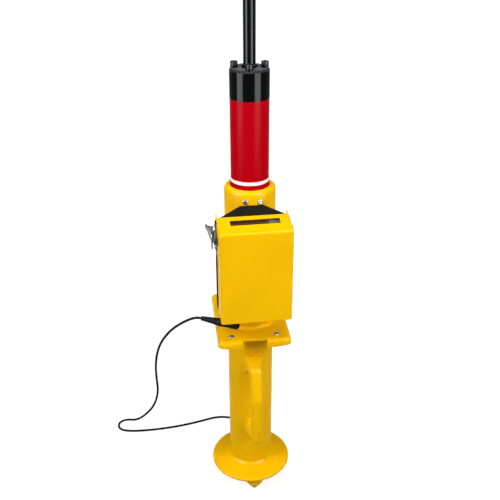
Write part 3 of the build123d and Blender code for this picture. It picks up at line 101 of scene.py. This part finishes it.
COIL_WAY = Vector((math.cos(COIL_HEADING), math.sin(COIL_HEADING), 0))
COIL_OUT = Vector((COIL_WAY.y, -COIL_WAY.x, 0))
COIL_START = COIL_CENTRE + COIL_OUT * COIL_RADIUS - COIL_WAY * LEAD_DIAMETER
COIL_EXIT_TURN = math.radians(109.0)
COIL_EXIT_RUN = 14.0
POINTS_PER_HALF_TURN = 8
POINTS_ON_EXIT_TURN = 6


def arc_points(centre, radius, side, sweep, count, climb=0.0):
    """Control points outside an arc, so that the smooth spline runs on the arc itself."""
    step = sweep / count
    reach = radius / math.cos(step / 2) * side
    points = []
    for index in range(count):
        turn = (index + 0.5) * step
        rise = Vector((0, 0, climb * (index + 0.5) / count))
        spot = centre + COIL_OUT * (reach * math.cos(turn)) + COIL_WAY * (reach * math.sin(turn))
        points.append(spot + rise)
    return points


def coil_points():
    """Half turns that close in, one that climbs to the upper layer, half turns that open out, the way out."""
    points = []
    start = COIL_CENTRE + COIL_OUT * COIL_RADIUS
    radius = COIL_RADIUS
    side = 1
    for index in range(4 * COIL_TURNS):
        climb = COIL_PITCH if index == 2 * COIL_TURNS else 0.0
        centre = start - COIL_OUT * (radius * side)
        points += arc_points(centre, radius, side, math.pi, POINTS_PER_HALF_TURN, climb)
        start = start - COIL_OUT * (2 * radius * side) + Vector((0, 0, climb))
        side = -side
        radius += COIL_PITCH / 2 if index >= 2 * COIL_TURNS else -COIL_PITCH / 2
    upper = COIL_CENTRE + Vector((0, 0, COIL_PITCH))
    points += arc_points(upper, COIL_RADIUS, 1, COIL_EXIT_TURN, POINTS_ON_EXIT_TURN)
    cos, sin = math.cos(COIL_EXIT_TURN), math.sin(COIL_EXIT_TURN)
    rim = upper + COIL_OUT * (COIL_RADIUS * cos) + COIL_WAY * (COIL_RADIUS * sin)
    points.append(rim + (COIL_WAY * cos - COIL_OUT * sin) * COIL_EXIT_RUN)
    return points


def make_lead():
    points = [BOOT_TIP, BOOT_TIP + PLUG_WAY * CORD_START_RUN]
    points += [Vector(point) for point in CORD_ROUTE]
    points += [COIL_START - COIL_WAY * CORD_END_RUN, COIL_START] + coil_points()
    curve = bpy.data.curves.new("lead_cable", "CURVE")
    curve.dimensions = "3D"
    spline = curve.splines.new("NURBS")
    spline.points.add(len(points) - 1)
    for target, point in zip(spline.points, points):
        target.co = (*(point * MM), 1.0)
        target.radius = LEAD_DIAMETER / 2 * MM
    spline.order_u = 3
    spline.use_endpoint_u = True
    curve.resolution_u = 8
    curve.bevel_depth = 1.0
    curve.bevel_resolution = 5
    curve.use_fill_caps = True
    lead = bpy.data.objects.new("lead_cable", curve)
    scene.collection.objects.link(lead)
    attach(lead, "stand")
    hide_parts("lead_cord", "lead_coil")
    return lead


lead = make_lead()


# Materials: colours are linear
YELLOW = (0.89, 0.49, 0.0)
# Darker, warmer colours for the corners: grime and painted shade
YELLOW_GRIME_AND_SHADE = (0.40, 0.16, 0.0)
RED = (0.445, 0.0005, 0.006)
RED_GRIME_AND_SHADE = (0.16, 0.0, 0.002)
TURNED_BLACK = (0.0010, 0.0010, 0.0015)
ROD_BLACK = (0.0008, 0.0015, 0.0022)
STEEL_BLACK = (0.014, 0.014, 0.016)
# Grey of the faced tops: partly their dull facing, partly painted sheen
FACED_GREY_AND_SHEEN = (1, 1, 1.08)
WORN_BLACK = (0.10, 0.10, 0.105)
PLASTIC_BLACK = (0.0065, 0.0045, 0.0030)
RUBBER_BLACK = (0.008, 0.008, 0.008)
SCUFFED_BLACK = (0.09, 0.09, 0.09)
SCREW_PLATE = (0.13, 0.13, 0.13)
LATCH_PLATE = (0.135, 0.132, 0.122)
NICKEL = (0.25, 0.24, 0.225)
SATIN_STEEL = (0.25, 0.25, 0.25)
ALUMINIUM = (0.36, 0.36, 0.37)
# Pinkish white: painted bounce light from the red body around the ring
RING_WHITE_RED_BOUNCE = (0.80, 0.68, 0.66)
RING_RUBBED = (0.55, 0.38, 0.36)
BOARD_GREEN = (0.008, 0.075, 0.024)
TRACK_GREEN = (0.012, 0.11, 0.036)
PAD_TIN = (0.55, 0.50, 0.38)
WRAP_DARK = (0.035, 0.05, 0.09)
WRAP_LIGHT = (0.06, 0.08, 0.13)
CELL_END = (0.6, 0.6, 0.6)
SMOKE_DARK = (0.010, 0.006, 0.005)
SMOKE_LIGHT = (0.020, 0.012, 0.010)

# Scale of the grain's noise along each axis
TURNED = (60.0, 60.0, 2600.0)
DRAWN = (2600.0, 2600.0, 45.0)
GROUND_SHEET = (120.0, 900.0, 900.0)
PLATED = (700.0, 700.0, 700.0)
WIPED = (60.0, 500.0, 500.0)

# The background is white in reflections too, so the gloss is a thin clear coat over a nearly dull ground
UNDERCOAT_GLOSS = 0.003
MOULDED_COAT = 0.035
BOARD_GLOSS = 0.06
WRAP_GLOSS = 0.10
PANE_GLOSS = 0.6
PANE_ALPHA = 0.30

EDGE_SAMPLES = 6
# A Mix node's colour sockets, which share their names with those of its other types
MIX_A, MIX_B, MIX_RESULT = 6, 7, 2


def shade(colour, factor=1.0):
    return (colour[0] * factor, colour[1] * factor, colour[2] * factor, 1.0)


class Look:
    """A node material in the making, with short calls for the nodes that the finishes share."""

    def __init__(self, name):
        self.material = bpy.data.materials.new(name)
        self.material.use_nodes = True
        self.tree = self.material.node_tree
        self.shader = self.tree.nodes["Principled BSDF"]
        self.place = self.add("ShaderNodeTexCoord").outputs["Object"]

    def add(self, kind, **settings):
        node = self.tree.nodes.new(kind)
        for name, value in settings.items():
            setattr(node, name, value)
        return node

    def put(self, socket, value):
        if isinstance(value, bpy.types.NodeSocket):
            self.tree.links.new(value, socket)
        else:
            socket.default_value = value

    def set(self, **values):
        for name, value in values.items():
            self.put(self.shader.inputs[name.replace("_", " ")], value)
        return self

    def mapped(self, **values):
        node = self.add("ShaderNodeMapping")
        self.put(node.inputs["Vector"], self.place)
        for name, value in values.items():
            self.put(node.inputs[name], value)
        return node.outputs["Vector"]

    def noise(self, scale, detail=2.0, roughness=0.5, place=None):
        node = self.add("ShaderNodeTexNoise")
        self.put(node.inputs["Vector"], place or self.place)
        self.put(node.inputs["Scale"], scale)
        self.put(node.inputs["Detail"], detail)
        self.put(node.inputs["Roughness"], roughness)
        return node.outputs["Fac"]

    def grain(self, scales, detail, roughness):
        """Noise drawn out into lines, from its scale along each axis."""
        return self.noise(1.0, detail, roughness, self.mapped(Scale=scales))

    def cells(self, scale):
        node = self.add("ShaderNodeTexVoronoi")
        self.put(node.inputs["Vector"], self.place)
        self.put(node.inputs["Scale"], scale)
        return node.outputs["Distance"]

    def bricks(self, place, scale, mortar, offset):
        node = self.add("ShaderNodeTexBrick", offset=offset)
        self.put(node.inputs["Vector"], place)
        self.put(node.inputs["Scale"], scale)
        self.put(node.inputs["Mortar Size"], mortar)
        return node.outputs["Fac"]

    def span(self, value, low, high, out_low=0.0, out_high=1.0):
        node = self.add("ShaderNodeMapRange")
        self.put(node.inputs["Value"], value)
        self.put(node.inputs["From Min"], low)
        self.put(node.inputs["From Max"], high)
        self.put(node.inputs["To Min"], out_low)
        self.put(node.inputs["To Max"], out_high)
        return node.outputs["Result"]

    def math(self, operation, a, b=0.0):
        node = self.add("ShaderNodeMath", operation=operation)
        self.put(node.inputs[0], a)
        self.put(node.inputs[1], b)
        return node.outputs["Value"]

    def mix(self, factor, a, b):
        node = self.add("ShaderNodeMix", data_type="RGBA")
        self.put(node.inputs["Factor"], factor)
        self.put(node.inputs[MIX_A], a)
        self.put(node.inputs[MIX_B], b)
        return node.outputs[MIX_RESULT]

    def over(self, body, colour, mask, amount):
        """The body with a colour laid over it, as far as mask and amount let it."""
        return self.mix(self.math("MULTIPLY", mask, amount), body, colour)

    def patchy(self, mask, scale, low, high, detail=4.0, roughness=0.5):
        """A mask broken up by noise."""
        return self.math("MULTIPLY", mask, self.span(self.noise(scale, detail, roughness), low, high))

    def bump(self, height, strength, depth, normal=None):
        node = self.add("ShaderNodeBump")
        self.put(node.inputs["Strength"], strength)
        self.put(node.inputs["Distance"], depth)
        self.put(node.inputs["Height"], height)
        if normal:
            self.put(node.inputs["Normal"], normal)
        return node.outputs["Normal"]

    def facing(self, axis):
        """How squarely a face looks along an axis."""
        split = self.add("ShaderNodeSeparateXYZ")
        self.put(split.inputs["Vector"], self.add("ShaderNodeTexCoord").outputs["Normal"])
        return split.outputs[axis]

    def soft_edges(self, radius):
        node = self.add("ShaderNodeBevel", samples=EDGE_SAMPLES)
        self.put(node.inputs["Radius"], radius)
        return node.outputs["Normal"]

    def edges(self, radius):
        """Near 1 along outside and inside edges, 0 on open faces."""
        geometry = self.add("ShaderNodeNewGeometry")
        dot = self.add("ShaderNodeVectorMath", operation="DOT_PRODUCT")
        self.put(dot.inputs[0], self.soft_edges(radius))
        self.put(dot.inputs[1], geometry.outputs["Normal"])
        return self.span(dot.outputs["Value"], low=0.97, high=0.75)

    def hollows(self, reach):
        """Near 1 in corners and gaps, 0 on open faces."""
        node = self.add("ShaderNodeAmbientOcclusion", samples=EDGE_SAMPLES, only_local=False)
        self.put(node.inputs["Distance"], reach)
        return self.span(node.outputs["AO"], low=0.75, high=0.25)


def enamel(name, colour, grime_and_shade_colour, roughness, lacquer):
    """Sprayed gloss enamel: slight colour drift, orange peel, worn edges, a little grime and painted shade in the
    corners.
    """
    look = Look(name)
    drift = look.span(look.noise(14.0, detail=3.0), low=0.3, high=0.7)
    body = look.mix(drift, shade(colour, 0.95), shade(colour, 1.03))
    rub = look.patchy(look.edges(0.0011), scale=160.0, low=0.42, high=0.68, roughness=0.6)
    rubbed = [min(1.0, part * 1.1 + 0.03) for part in colour]
    body = look.over(body, shade(rubbed), rub, amount=0.18)
    # Grime and painted shade: corners and gaps darkened towards a deeper, warmer colour
    grime_and_shade = look.patchy(look.hollows(0.004), scale=60.0, low=0.2, high=0.9, detail=3.0)
    body = look.over(body, shade(grime_and_shade_colour), grime_and_shade, amount=0.5)
    gloss = look.span(look.noise(45.0, detail=4.0, roughness=0.6), low=0.25, high=0.75,
                      out_low=roughness - 0.05, out_high=roughness + 0.07)
    peel = look.bump(look.noise(620.0, detail=1.0), strength=0.10, depth=0.0004, normal=look.soft_edges(0.0007))
    fine = look.bump(look.noise(2600.0), strength=0.03, depth=0.0002, normal=peel)
    look.set(Specular_IOR_Level=UNDERCOAT_GLOSS, Coat_Weight=lacquer, Coat_Roughness=roughness)
    return look.set(Base_Color=body, Roughness=gloss, Normal=fine).material


def machined(name, colour, roughness, grain, lacquer, faced_and_sheen=0.0):
    """Black finish on turned or drawn metal, with a lighter grey top where asked: partly the dull grey of facing,
    partly painted sheen for the light the top catches.
    """
    look = Look(name)
    lines = look.grain(grain, detail=3.0, roughness=0.6)
    cloud = look.noise(30.0, detail=3.0)
    body = look.mix(look.span(cloud, low=0.3, high=0.7), shade(colour, 0.8), shade(colour, 1.25))
    worn = look.patchy(look.edges(0.0008), scale=240.0, low=0.45, high=0.7)
    body = look.over(body, shade(WORN_BLACK), worn, amount=0.35)
    gloss = look.span(lines, low=0.2, high=0.8, out_low=roughness - 0.04, out_high=roughness + 0.06)
    # Painted sheen: faces turned up are made a lighter grey, partly for facing marks, partly for the light they catch
    if faced_and_sheen:
        top = look.span(look.facing("Z"), low=0.62, high=0.98)
        grey = look.mix(cloud, shade(FACED_GREY_AND_SHEEN, faced_and_sheen * 0.8), shade(FACED_GREY_AND_SHEEN, faced_and_sheen * 1.2))
        body = look.mix(top, body, grey)
        gloss = look.math("MAXIMUM", gloss, look.math("MULTIPLY", top, 0.42))
    normal = look.bump(lines, strength=0.02, depth=0.0002, normal=look.soft_edges(0.0006))
    look.set(Specular_IOR_Level=UNDERCOAT_GLOSS, Coat_Weight=lacquer, Coat_Roughness=roughness)
    return look.set(Base_Color=body, Roughness=gloss, Normal=normal).material


def moulded(name, colour, roughness, speckle_scale, speckle_depth):
    """Plastic or rubber with a fine moulded grain and scuffed edges."""
    look = Look(name)
    speckle = look.noise(speckle_scale, roughness=0.6)
    cloud = look.noise(55.0, detail=3.0)
    body = look.mix(look.span(cloud, low=0.3, high=0.7), shade(colour, 0.8), shade(colour, 1.3))
    scuff = look.patchy(look.edges(0.0007), scale=300.0, low=0.4, high=0.75)
    body = look.over(body, shade(SCUFFED_BLACK), scuff, amount=0.4)
    gloss = look.span(cloud, low=0.2, high=0.8, out_low=roughness - 0.07, out_high=roughness + 0.07)
    normal = look.bump(speckle, strength=0.25, depth=speckle_depth, normal=look.soft_edges(0.0005))
    look.set(Specular_IOR_Level=UNDERCOAT_GLOSS, Coat_Weight=MOULDED_COAT, Coat_Roughness=roughness)
    return look.set(Base_Color=body, Roughness=gloss, Normal=normal).material


def metal(name, colour, roughness, grain, tarnish, stained=0.5):
    """Bare or plated metal with grinding lines, small stains and painted shade in the corners."""
    look = Look(name)
    lines = look.grain(grain, detail=3.0, roughness=0.65)
    stain = look.span(look.noise(180.0, detail=4.0, roughness=0.6), low=0.45, high=0.75)
    body = look.over(shade(colour), shade(colour, stained), stain, amount=tarnish)
    # Painted shade: corners and gaps darkened nearly to black
    body = look.over(body, shade(colour, 0.08), look.hollows(0.003), amount=0.8)
    gloss = look.span(lines, low=0.2, high=0.8, out_low=roughness - 0.06, out_high=roughness + 0.10)
    normal = look.bump(lines, strength=0.12, depth=0.0001, normal=look.soft_edges(0.0004))
    return look.set(Base_Color=body, Roughness=gloss, Normal=normal, Metallic=1.0).material


def marked_white(name):
    """A painted ring, a little rubbed, its white tinted pink by painted bounce light from the red body."""
    look = Look(name)
    rub = look.span(look.noise(420.0, detail=4.0, roughness=0.65), low=0.58, high=0.74)
    body = look.over(shade(RING_WHITE_RED_BOUNCE), shade(RING_RUBBED), rub, amount=0.45)
    normal = look.bump(look.noise(1800.0), strength=0.08, depth=0.0002, normal=look.soft_edges(0.0003))
    gloss = look.span(look.noise(90.0, detail=3.0), low=0.2, high=0.8, out_low=0.42, out_high=0.58)
    return look.set(Base_Color=body, Roughness=gloss, Normal=normal).material


def board(name):
    """A green circuit board with tracks and pads."""
    look = Look(name)
    upright = look.mapped(Rotation=(math.radians(90), 0, 0))
    tracks = look.bricks(upright, scale=95.0, mortar=0.035, offset=0.37)
    pads = look.span(look.cells(420.0), low=0.16, high=0.12)
    body = look.mix(tracks, shade(BOARD_GREEN), shade(TRACK_GREEN))
    body = look.over(body, shade(PAD_TIN), pads, amount=0.8)
    normal = look.bump(tracks, strength=0.2, depth=0.0002)
    gloss = look.span(look.noise(200.0), low=0.2, high=0.8, out_low=0.28, out_high=0.42)
    look.set(Specular_IOR_Level=BOARD_GLOSS)
    return look.set(Base_Color=body, Roughness=gloss, Normal=normal).material


def cell_wrap(name):
    """A plastic-wrapped cell, plain, with bare metal ends."""
    look = Look(name)
    end = look.math("GREATER_THAN", look.math("ABSOLUTE", look.facing("X")), 0.8)
    wrap = look.mix(look.noise(70.0, detail=3.0), shade(WRAP_DARK), shade(WRAP_LIGHT))
    body = look.mix(end, wrap, shade(CELL_END))
    gloss = look.span(look.noise(300.0, detail=3.0), low=0.2, high=0.8, out_low=0.18, out_high=0.34)
    normal = look.bump(look.noise(500.0), strength=0.06, depth=0.0002)
    look.set(Specular_IOR_Level=WRAP_GLOSS)
    return look.set(Base_Color=body, Roughness=gloss, Metallic=end, Normal=normal).material


def smoked_pane(name):
    """Dark acrylic over the displays, with faint wiping marks."""
    look = Look(name)
    wipes = look.grain(WIPED, detail=4.0, roughness=0.6)
    gloss = look.span(wipes, low=0.3, high=0.8, out_low=0.03, out_high=0.12)
    tint = look.mix(look.noise(40.0), shade(SMOKE_DARK), shade(SMOKE_LIGHT))
    normal = look.bump(look.noise(60.0, detail=1.0), strength=0.04, depth=0.0006, normal=look.soft_edges(0.0003))
    look.set(Specular_IOR_Level=PANE_GLOSS, Alpha=PANE_ALPHA)
    return look.set(Base_Color=tint, Roughness=gloss, Normal=normal).material


def display_face(name, ground, bar):
    """An unlit display: rows of bars that are only a shade lighter than the ground."""
    look = Look(name)
    gaps = look.bricks(look.place, scale=62.0, mortar=0.08, offset=0.0)
    body = look.mix(gaps, shade(bar), shade(ground))
    gloss = look.span(look.noise(200.0), low=0.2, high=0.8, out_low=0.16, out_high=0.30)
    normal = look.bump(gaps, strength=0.05, depth=0.0002)
    return look.set(Base_Color=body, Roughness=gloss, Normal=normal).material


LOOKS = {
    "yellow_paint": enamel("yellow_enamel", YELLOW, YELLOW_GRIME_AND_SHADE, roughness=0.25, lacquer=0.06),
    "red_paint": enamel("red_enamel", RED, RED_GRIME_AND_SHADE, roughness=0.22, lacquer=0.010),
    "white_mark": marked_white("white_ring_paint"),
    "black_anodised": machined("black_turned", TURNED_BLACK, 0.15, TURNED, lacquer=0.062, faced_and_sheen=0.100),
    "black_plastic": moulded("black_moulded_plastic", PLASTIC_BLACK, 0.50, speckle_scale=2300.0, speckle_depth=0.0002),
    "black_rubber": moulded("black_rubber_grain", RUBBER_BLACK, 0.60, speckle_scale=1500.0, speckle_depth=0.0003),
    "dark_steel": machined("blackened_steel", STEEL_BLACK, 0.30, TURNED, lacquer=0.12),
    "bright_screw": metal("bright_plated", SCREW_PLATE, 0.22, PLATED, tarnish=0.5),
    "latch_steel": metal("plated_sheet_steel", LATCH_PLATE, 0.30, GROUND_SHEET, tarnish=1.0, stained=0.12),
    "connector_metal": metal("nickel_plate", NICKEL, 0.24, TURNED, tarnish=0.35),
    "sensor_steel": metal("satin_steel", SATIN_STEEL, 0.30, TURNED, tarnish=0.2),
    "bare_aluminium": metal("satin_aluminium", ALUMINIUM, 0.30, TURNED, tarnish=0.15),
    "circuit_board": board("circuit_laminate"),
    "cell_sleeve": cell_wrap("cell_wrap"),
    "window_glass": smoked_pane("smoked_acrylic"),
    # The dark display's brown ground is lightened to give the pane's brownish look: partly its own colour, partly
    # painted reflection
    "dark_display": display_face("dark_display_face_and_reflection", ground=(0.25, 0.125, 0.035), bar=(0.32, 0.165, 0.05)),
    "grey_display": display_face("grey_display_face", ground=(0.53, 0.48, 0.33), bar=(0.60, 0.55, 0.39)),
}
ROD_LOOK = machined("black_drawn_rod", ROD_BLACK, 0.15, DRAWN, lacquer=0.085)


def dress(obj, material):
    obj.data.materials.clear()
    obj.data.materials.append(material)


for row in frame["record"]["subparts"]:
    dress(nodes[row["node"]], LOOKS[row["material_slot"]])
dress(nodes["handle_rod"], ROD_LOOK)
dress(lead, LOOKS["black_rubber"])


# Trim: painted beads where pieces meet on the tube, and the dark rubber strip on the box's closing edge, which also
# stands in for the shadow in that seam (painted shade)
TUBE_R = 32.25
PLATE_TOP = 287.0
PLATE_BEAD = 4.0
HANDLE_BEADS = (243.9, 126.9)
HANDLE_BEAD_R = 1.8
HANDLE_BEAD_SWEEP = math.radians(22.0)
SEAL_SHADOW_PLACE = Vector((-50.0, -46.7, 0.0))
SEAL_SHADOW_R = 1.8
SEAL_SHADOW_RUNS = ((333.5, 419.8), (459.4, 465.0))
SINK = 0.4
SHARP_ANGLE = math.radians(50)
COARSE_RIPPLE = 0.05
FINE_RIPPLE = 0.04
RING_STEPS = 120
FILLET_STEPS = 7
BEAD_STEPS = 24
ROUND_SIDES = 14
END_POWER = 10
END_LEAST = 0.05


def add_trim(name, sections, closed, slot):
    """Skin over rings of points in millimetres, one ring per step along the piece."""
    count = len(sections[0])
    steps = len(sections)
    faces = []
    for step in range(steps if closed else steps - 1):
        here, there = step * count, (step + 1) % steps * count
        for side in range(count):
            other = (side + 1) % count
            faces.append((here + side, here + other, there + other, there + side))
    if not closed:
        faces += [tuple(reversed(range(count))), tuple(range((steps - 1) * count, steps * count))]
    mesh = bpy.data.meshes.new(name)
    mesh.from_pydata([point * MM for ring in sections for point in ring], [], faces)
    mesh.shade_smooth()
    mesh.set_sharp_from_angle(angle=SHARP_ANGLE)
    piece = bpy.data.objects.new(name, mesh)
    scene.collection.objects.link(piece)
    dress(piece, LOOKS[slot])
    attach(piece, "stand")


def ripple(turn):
    """The slightly uneven size of a bead that was laid by hand."""
    return 1 + COARSE_RIPPLE * math.sin(9 * turn) + FINE_RIPPLE * math.sin(23 * turn + 1)


def around(turn, radius, z):
    """A point at a turn from the front of the tube."""
    return Vector((radius * math.sin(turn), -radius * math.cos(turn), z))


def full_end(part):
    """Width along a bead, from near 0 at its ends to 1 along its middle."""
    return max(END_LEAST, 1 - abs(2 * part - 1) ** END_POWER) ** 0.5


def make_plate_bead():
    sections = []
    for step in range(RING_STEPS):
        turn = 2 * math.pi * step / RING_STEPS
        size = PLATE_BEAD * ripple(turn)
        section = [
            around(turn, TUBE_R - SINK, PLATE_TOP - SINK),
            around(turn, TUBE_R - SINK, PLATE_TOP + size),
        ]
        for index in range(FILLET_STEPS + 1):
            bend = math.pi / 2 * index / FILLET_STEPS
            radius = TUBE_R + size * (1 - math.cos(bend))
            section.append(around(turn, radius, PLATE_TOP + size * (1 - math.sin(bend))))
        section.append(around(turn, TUBE_R + size, PLATE_TOP - SINK))
        sections.append(section)
    add_trim("plate_bead", sections, True, "yellow_paint")


def make_handle_bead(name, level):
    sections = []
    for step in range(BEAD_STEPS + 1):
        part = step / BEAD_STEPS
        turn = HANDLE_BEAD_SWEEP * (2 * part - 1)
        size = HANDLE_BEAD_R * full_end(part) * ripple(turn * 6)
        ring = []
        for side in range(ROUND_SIDES):
            bend = -2 * math.pi * side / ROUND_SIDES
            ring.append(around(turn, TUBE_R + SINK + size * math.cos(bend), level + size * math.sin(bend)))
        sections.append(ring)
    add_trim(name, sections, False, "yellow_paint")


# Painted shade: a dark rubber strip on the box's left closing edge, standing in for the shadow in that seam
def make_seal_and_shadow(name, low, high):
    sections = []
    for step in range(BEAD_STEPS + 1):
        part = step / BEAD_STEPS
        size = SEAL_SHADOW_R * full_end(part)
        z = Vector((0, 0, low + (high - low) * part))
        ring = []
        for side in range(ROUND_SIDES):
            bend = math.pi / 2 + math.pi * side / (ROUND_SIDES - 1)
            ring.append(SEAL_SHADOW_PLACE + z + Vector((math.cos(bend), math.sin(bend), 0)) * size)
        sections.append(ring)
    add_trim(name, sections, False, "black_rubber")


make_plate_bead()
for number, level in enumerate(HANDLE_BEADS, 1):
    make_handle_bead(f"handle_bead_{number}", level)
for number, (low, high) in enumerate(SEAL_SHADOW_RUNS, 1):
    make_seal_and_shadow(f"edge_seal_shadow_{number}", low, high)


# Floor and background: what the camera sees is nearly white, and what lights the object is grey and weak
FLOOR_HALF = 9.0
FLOOR_GREY = 0.36
SEEN_FLOOR_GREY = 0.28
GLOW_NEAR = 0.83
GLOW_FAR = 1.0
GLOW_FROM = 0.1
GLOW_TO = 1.1
WORLD_LIGHT = 0.15
SEEN_WORLD = 1.0


def seen_ray(tree):
    """1 for what the camera sees, directly or in metal or glass."""
    path = tree.nodes.new("ShaderNodeLightPath")
    total = path.outputs["Is Camera Ray"]
    for name in ("Is Glossy Ray", "Is Transmission Ray"):
        largest = tree.nodes.new("ShaderNodeMath")
        largest.operation = "MAXIMUM"
        tree.links.new(total, largest.inputs[0])
        tree.links.new(path.outputs[name], largest.inputs[1])
        total = largest.outputs["Value"]
    return total


def floor_material():
    material = bpy.data.materials.new("studio_floor")
    material.use_nodes = True
    tree = material.node_tree
    tree.nodes.clear()
    plain = tree.nodes.new("ShaderNodeBsdfDiffuse")
    plain.inputs["Color"].default_value = (FLOOR_GREY, FLOOR_GREY, FLOOR_GREY, 1)
    faint = tree.nodes.new("ShaderNodeBsdfDiffuse")
    faint.inputs["Color"].default_value = (SEEN_FLOOR_GREY, SEEN_FLOOR_GREY, SEEN_FLOOR_GREY, 1)
    glow = tree.nodes.new("ShaderNodeEmission")
    place = tree.nodes.new("ShaderNodeTexCoord")
    away = tree.nodes.new("ShaderNodeVectorMath")
    away.operation = "LENGTH"
    tree.links.new(place.outputs["Object"], away.inputs[0])
    rise = tree.nodes.new("ShaderNodeMapRange")
    rise.interpolation_type = "SMOOTHSTEP"
    tree.links.new(away.outputs["Value"], rise.inputs["Value"])
    rise.inputs["From Min"].default_value = GLOW_FROM
    rise.inputs["From Max"].default_value = GLOW_TO
    rise.inputs["To Min"].default_value = GLOW_NEAR
    rise.inputs["To Max"].default_value = GLOW_FAR
    tree.links.new(rise.outputs["Result"], glow.inputs["Strength"])
    both = tree.nodes.new("ShaderNodeAddShader")
    tree.links.new(faint.outputs[0], both.inputs[0])
    tree.links.new(glow.outputs[0], both.inputs[1])
    choice = tree.nodes.new("ShaderNodeMixShader")
    tree.links.new(seen_ray(tree), choice.inputs[0])
    tree.links.new(plain.outputs[0], choice.inputs[1])
    tree.links.new(both.outputs[0], choice.inputs[2])
    output = tree.nodes.new("ShaderNodeOutputMaterial")
    tree.links.new(choice.outputs[0], output.inputs["Surface"])
    return material


def make_floor():
    mesh = bpy.data.meshes.new("studio_floor")
    half = FLOOR_HALF
    corners = [(-half, -half, 0), (half, -half, 0), (half, half, 0), (-half, half, 0)]
    mesh.from_pydata(corners, [], [(0, 1, 2, 3)])
    mesh.materials.append(floor_material())
    floor = bpy.data.objects.new("studio_floor", mesh)
    scene.collection.objects.link(floor)


def make_world():
    world = bpy.data.worlds.new("studio")
    scene.world = world
    world.use_nodes = True
    tree = world.node_tree
    background = tree.nodes["Background"]
    background.inputs["Color"].default_value = (1, 1, 1, 1)
    strength = tree.nodes.new("ShaderNodeMapRange")
    tree.links.new(seen_ray(tree), strength.inputs["Value"])
    strength.inputs["To Min"].default_value = WORLD_LIGHT
    strength.inputs["To Max"].default_value = SEEN_WORLD
    tree.links.new(strength.outputs["Result"], background.inputs["Strength"])


make_floor()
make_world()


# Lamps, each aimed at a height on the tube's axis; those for gloss only show in reflections alone
GLOSS_TINT = (0.88, 0.92, 1.0)
SIDE_BOX = {"aim": 0.40, "size": (0.6, 0.6), "watts": 13.6}
TOP_BOX = {"aim": 0.2, "size": (0.8, 0.8), "watts": 10.4}
LOW_PANEL = {"aim": 0.53, "size": (0.72, 0.72), "watts": 68, "gloss_only": True}
HIGH_PANEL = {"aim": 0.30, "size": (0.60, 0.80), "watts": 100, "gloss_only": True}


def make_lamp(name, place, aim, size, watts, gloss_only=False):
    data = bpy.data.lights.new(name, "AREA")
    data.shape = "RECTANGLE"
    data.size, data.size_y = size
    data.energy = watts
    lamp = bpy.data.objects.new(name, data)
    scene.collection.objects.link(lamp)
    lamp.visible_diffuse = not gloss_only
    if gloss_only:
        data.color = GLOSS_TINT
    way = Vector((0, 0, aim)) - Vector(place)
    lamp.matrix_world = Matrix.Translation(place) @ way.to_track_quat("-Z", "Y").to_matrix().to_4x4()


make_lamp("left_softbox", (-1.09, -0.51, 1.05), **SIDE_BOX)
make_lamp("right_softbox", (0.75, -0.93, 1.05), **SIDE_BOX)
make_lamp("top_softbox", (-0.05, -0.35, 1.90), **TOP_BOX)
make_lamp("left_low_panel", (-1.09, -0.51, 0.53), **LOW_PANEL)
make_lamp("right_low_panel", (0.75, -0.93, 0.53), **LOW_PANEL)
make_lamp("left_high_panel", (-0.95, -0.55, 1.55), **HIGH_PANEL)
make_lamp("right_high_panel", (0.66, -0.85, 1.55), **HIGH_PANEL)
scene.view_settings.view_transform = "Standard"

bpy.context.view_layer.update()
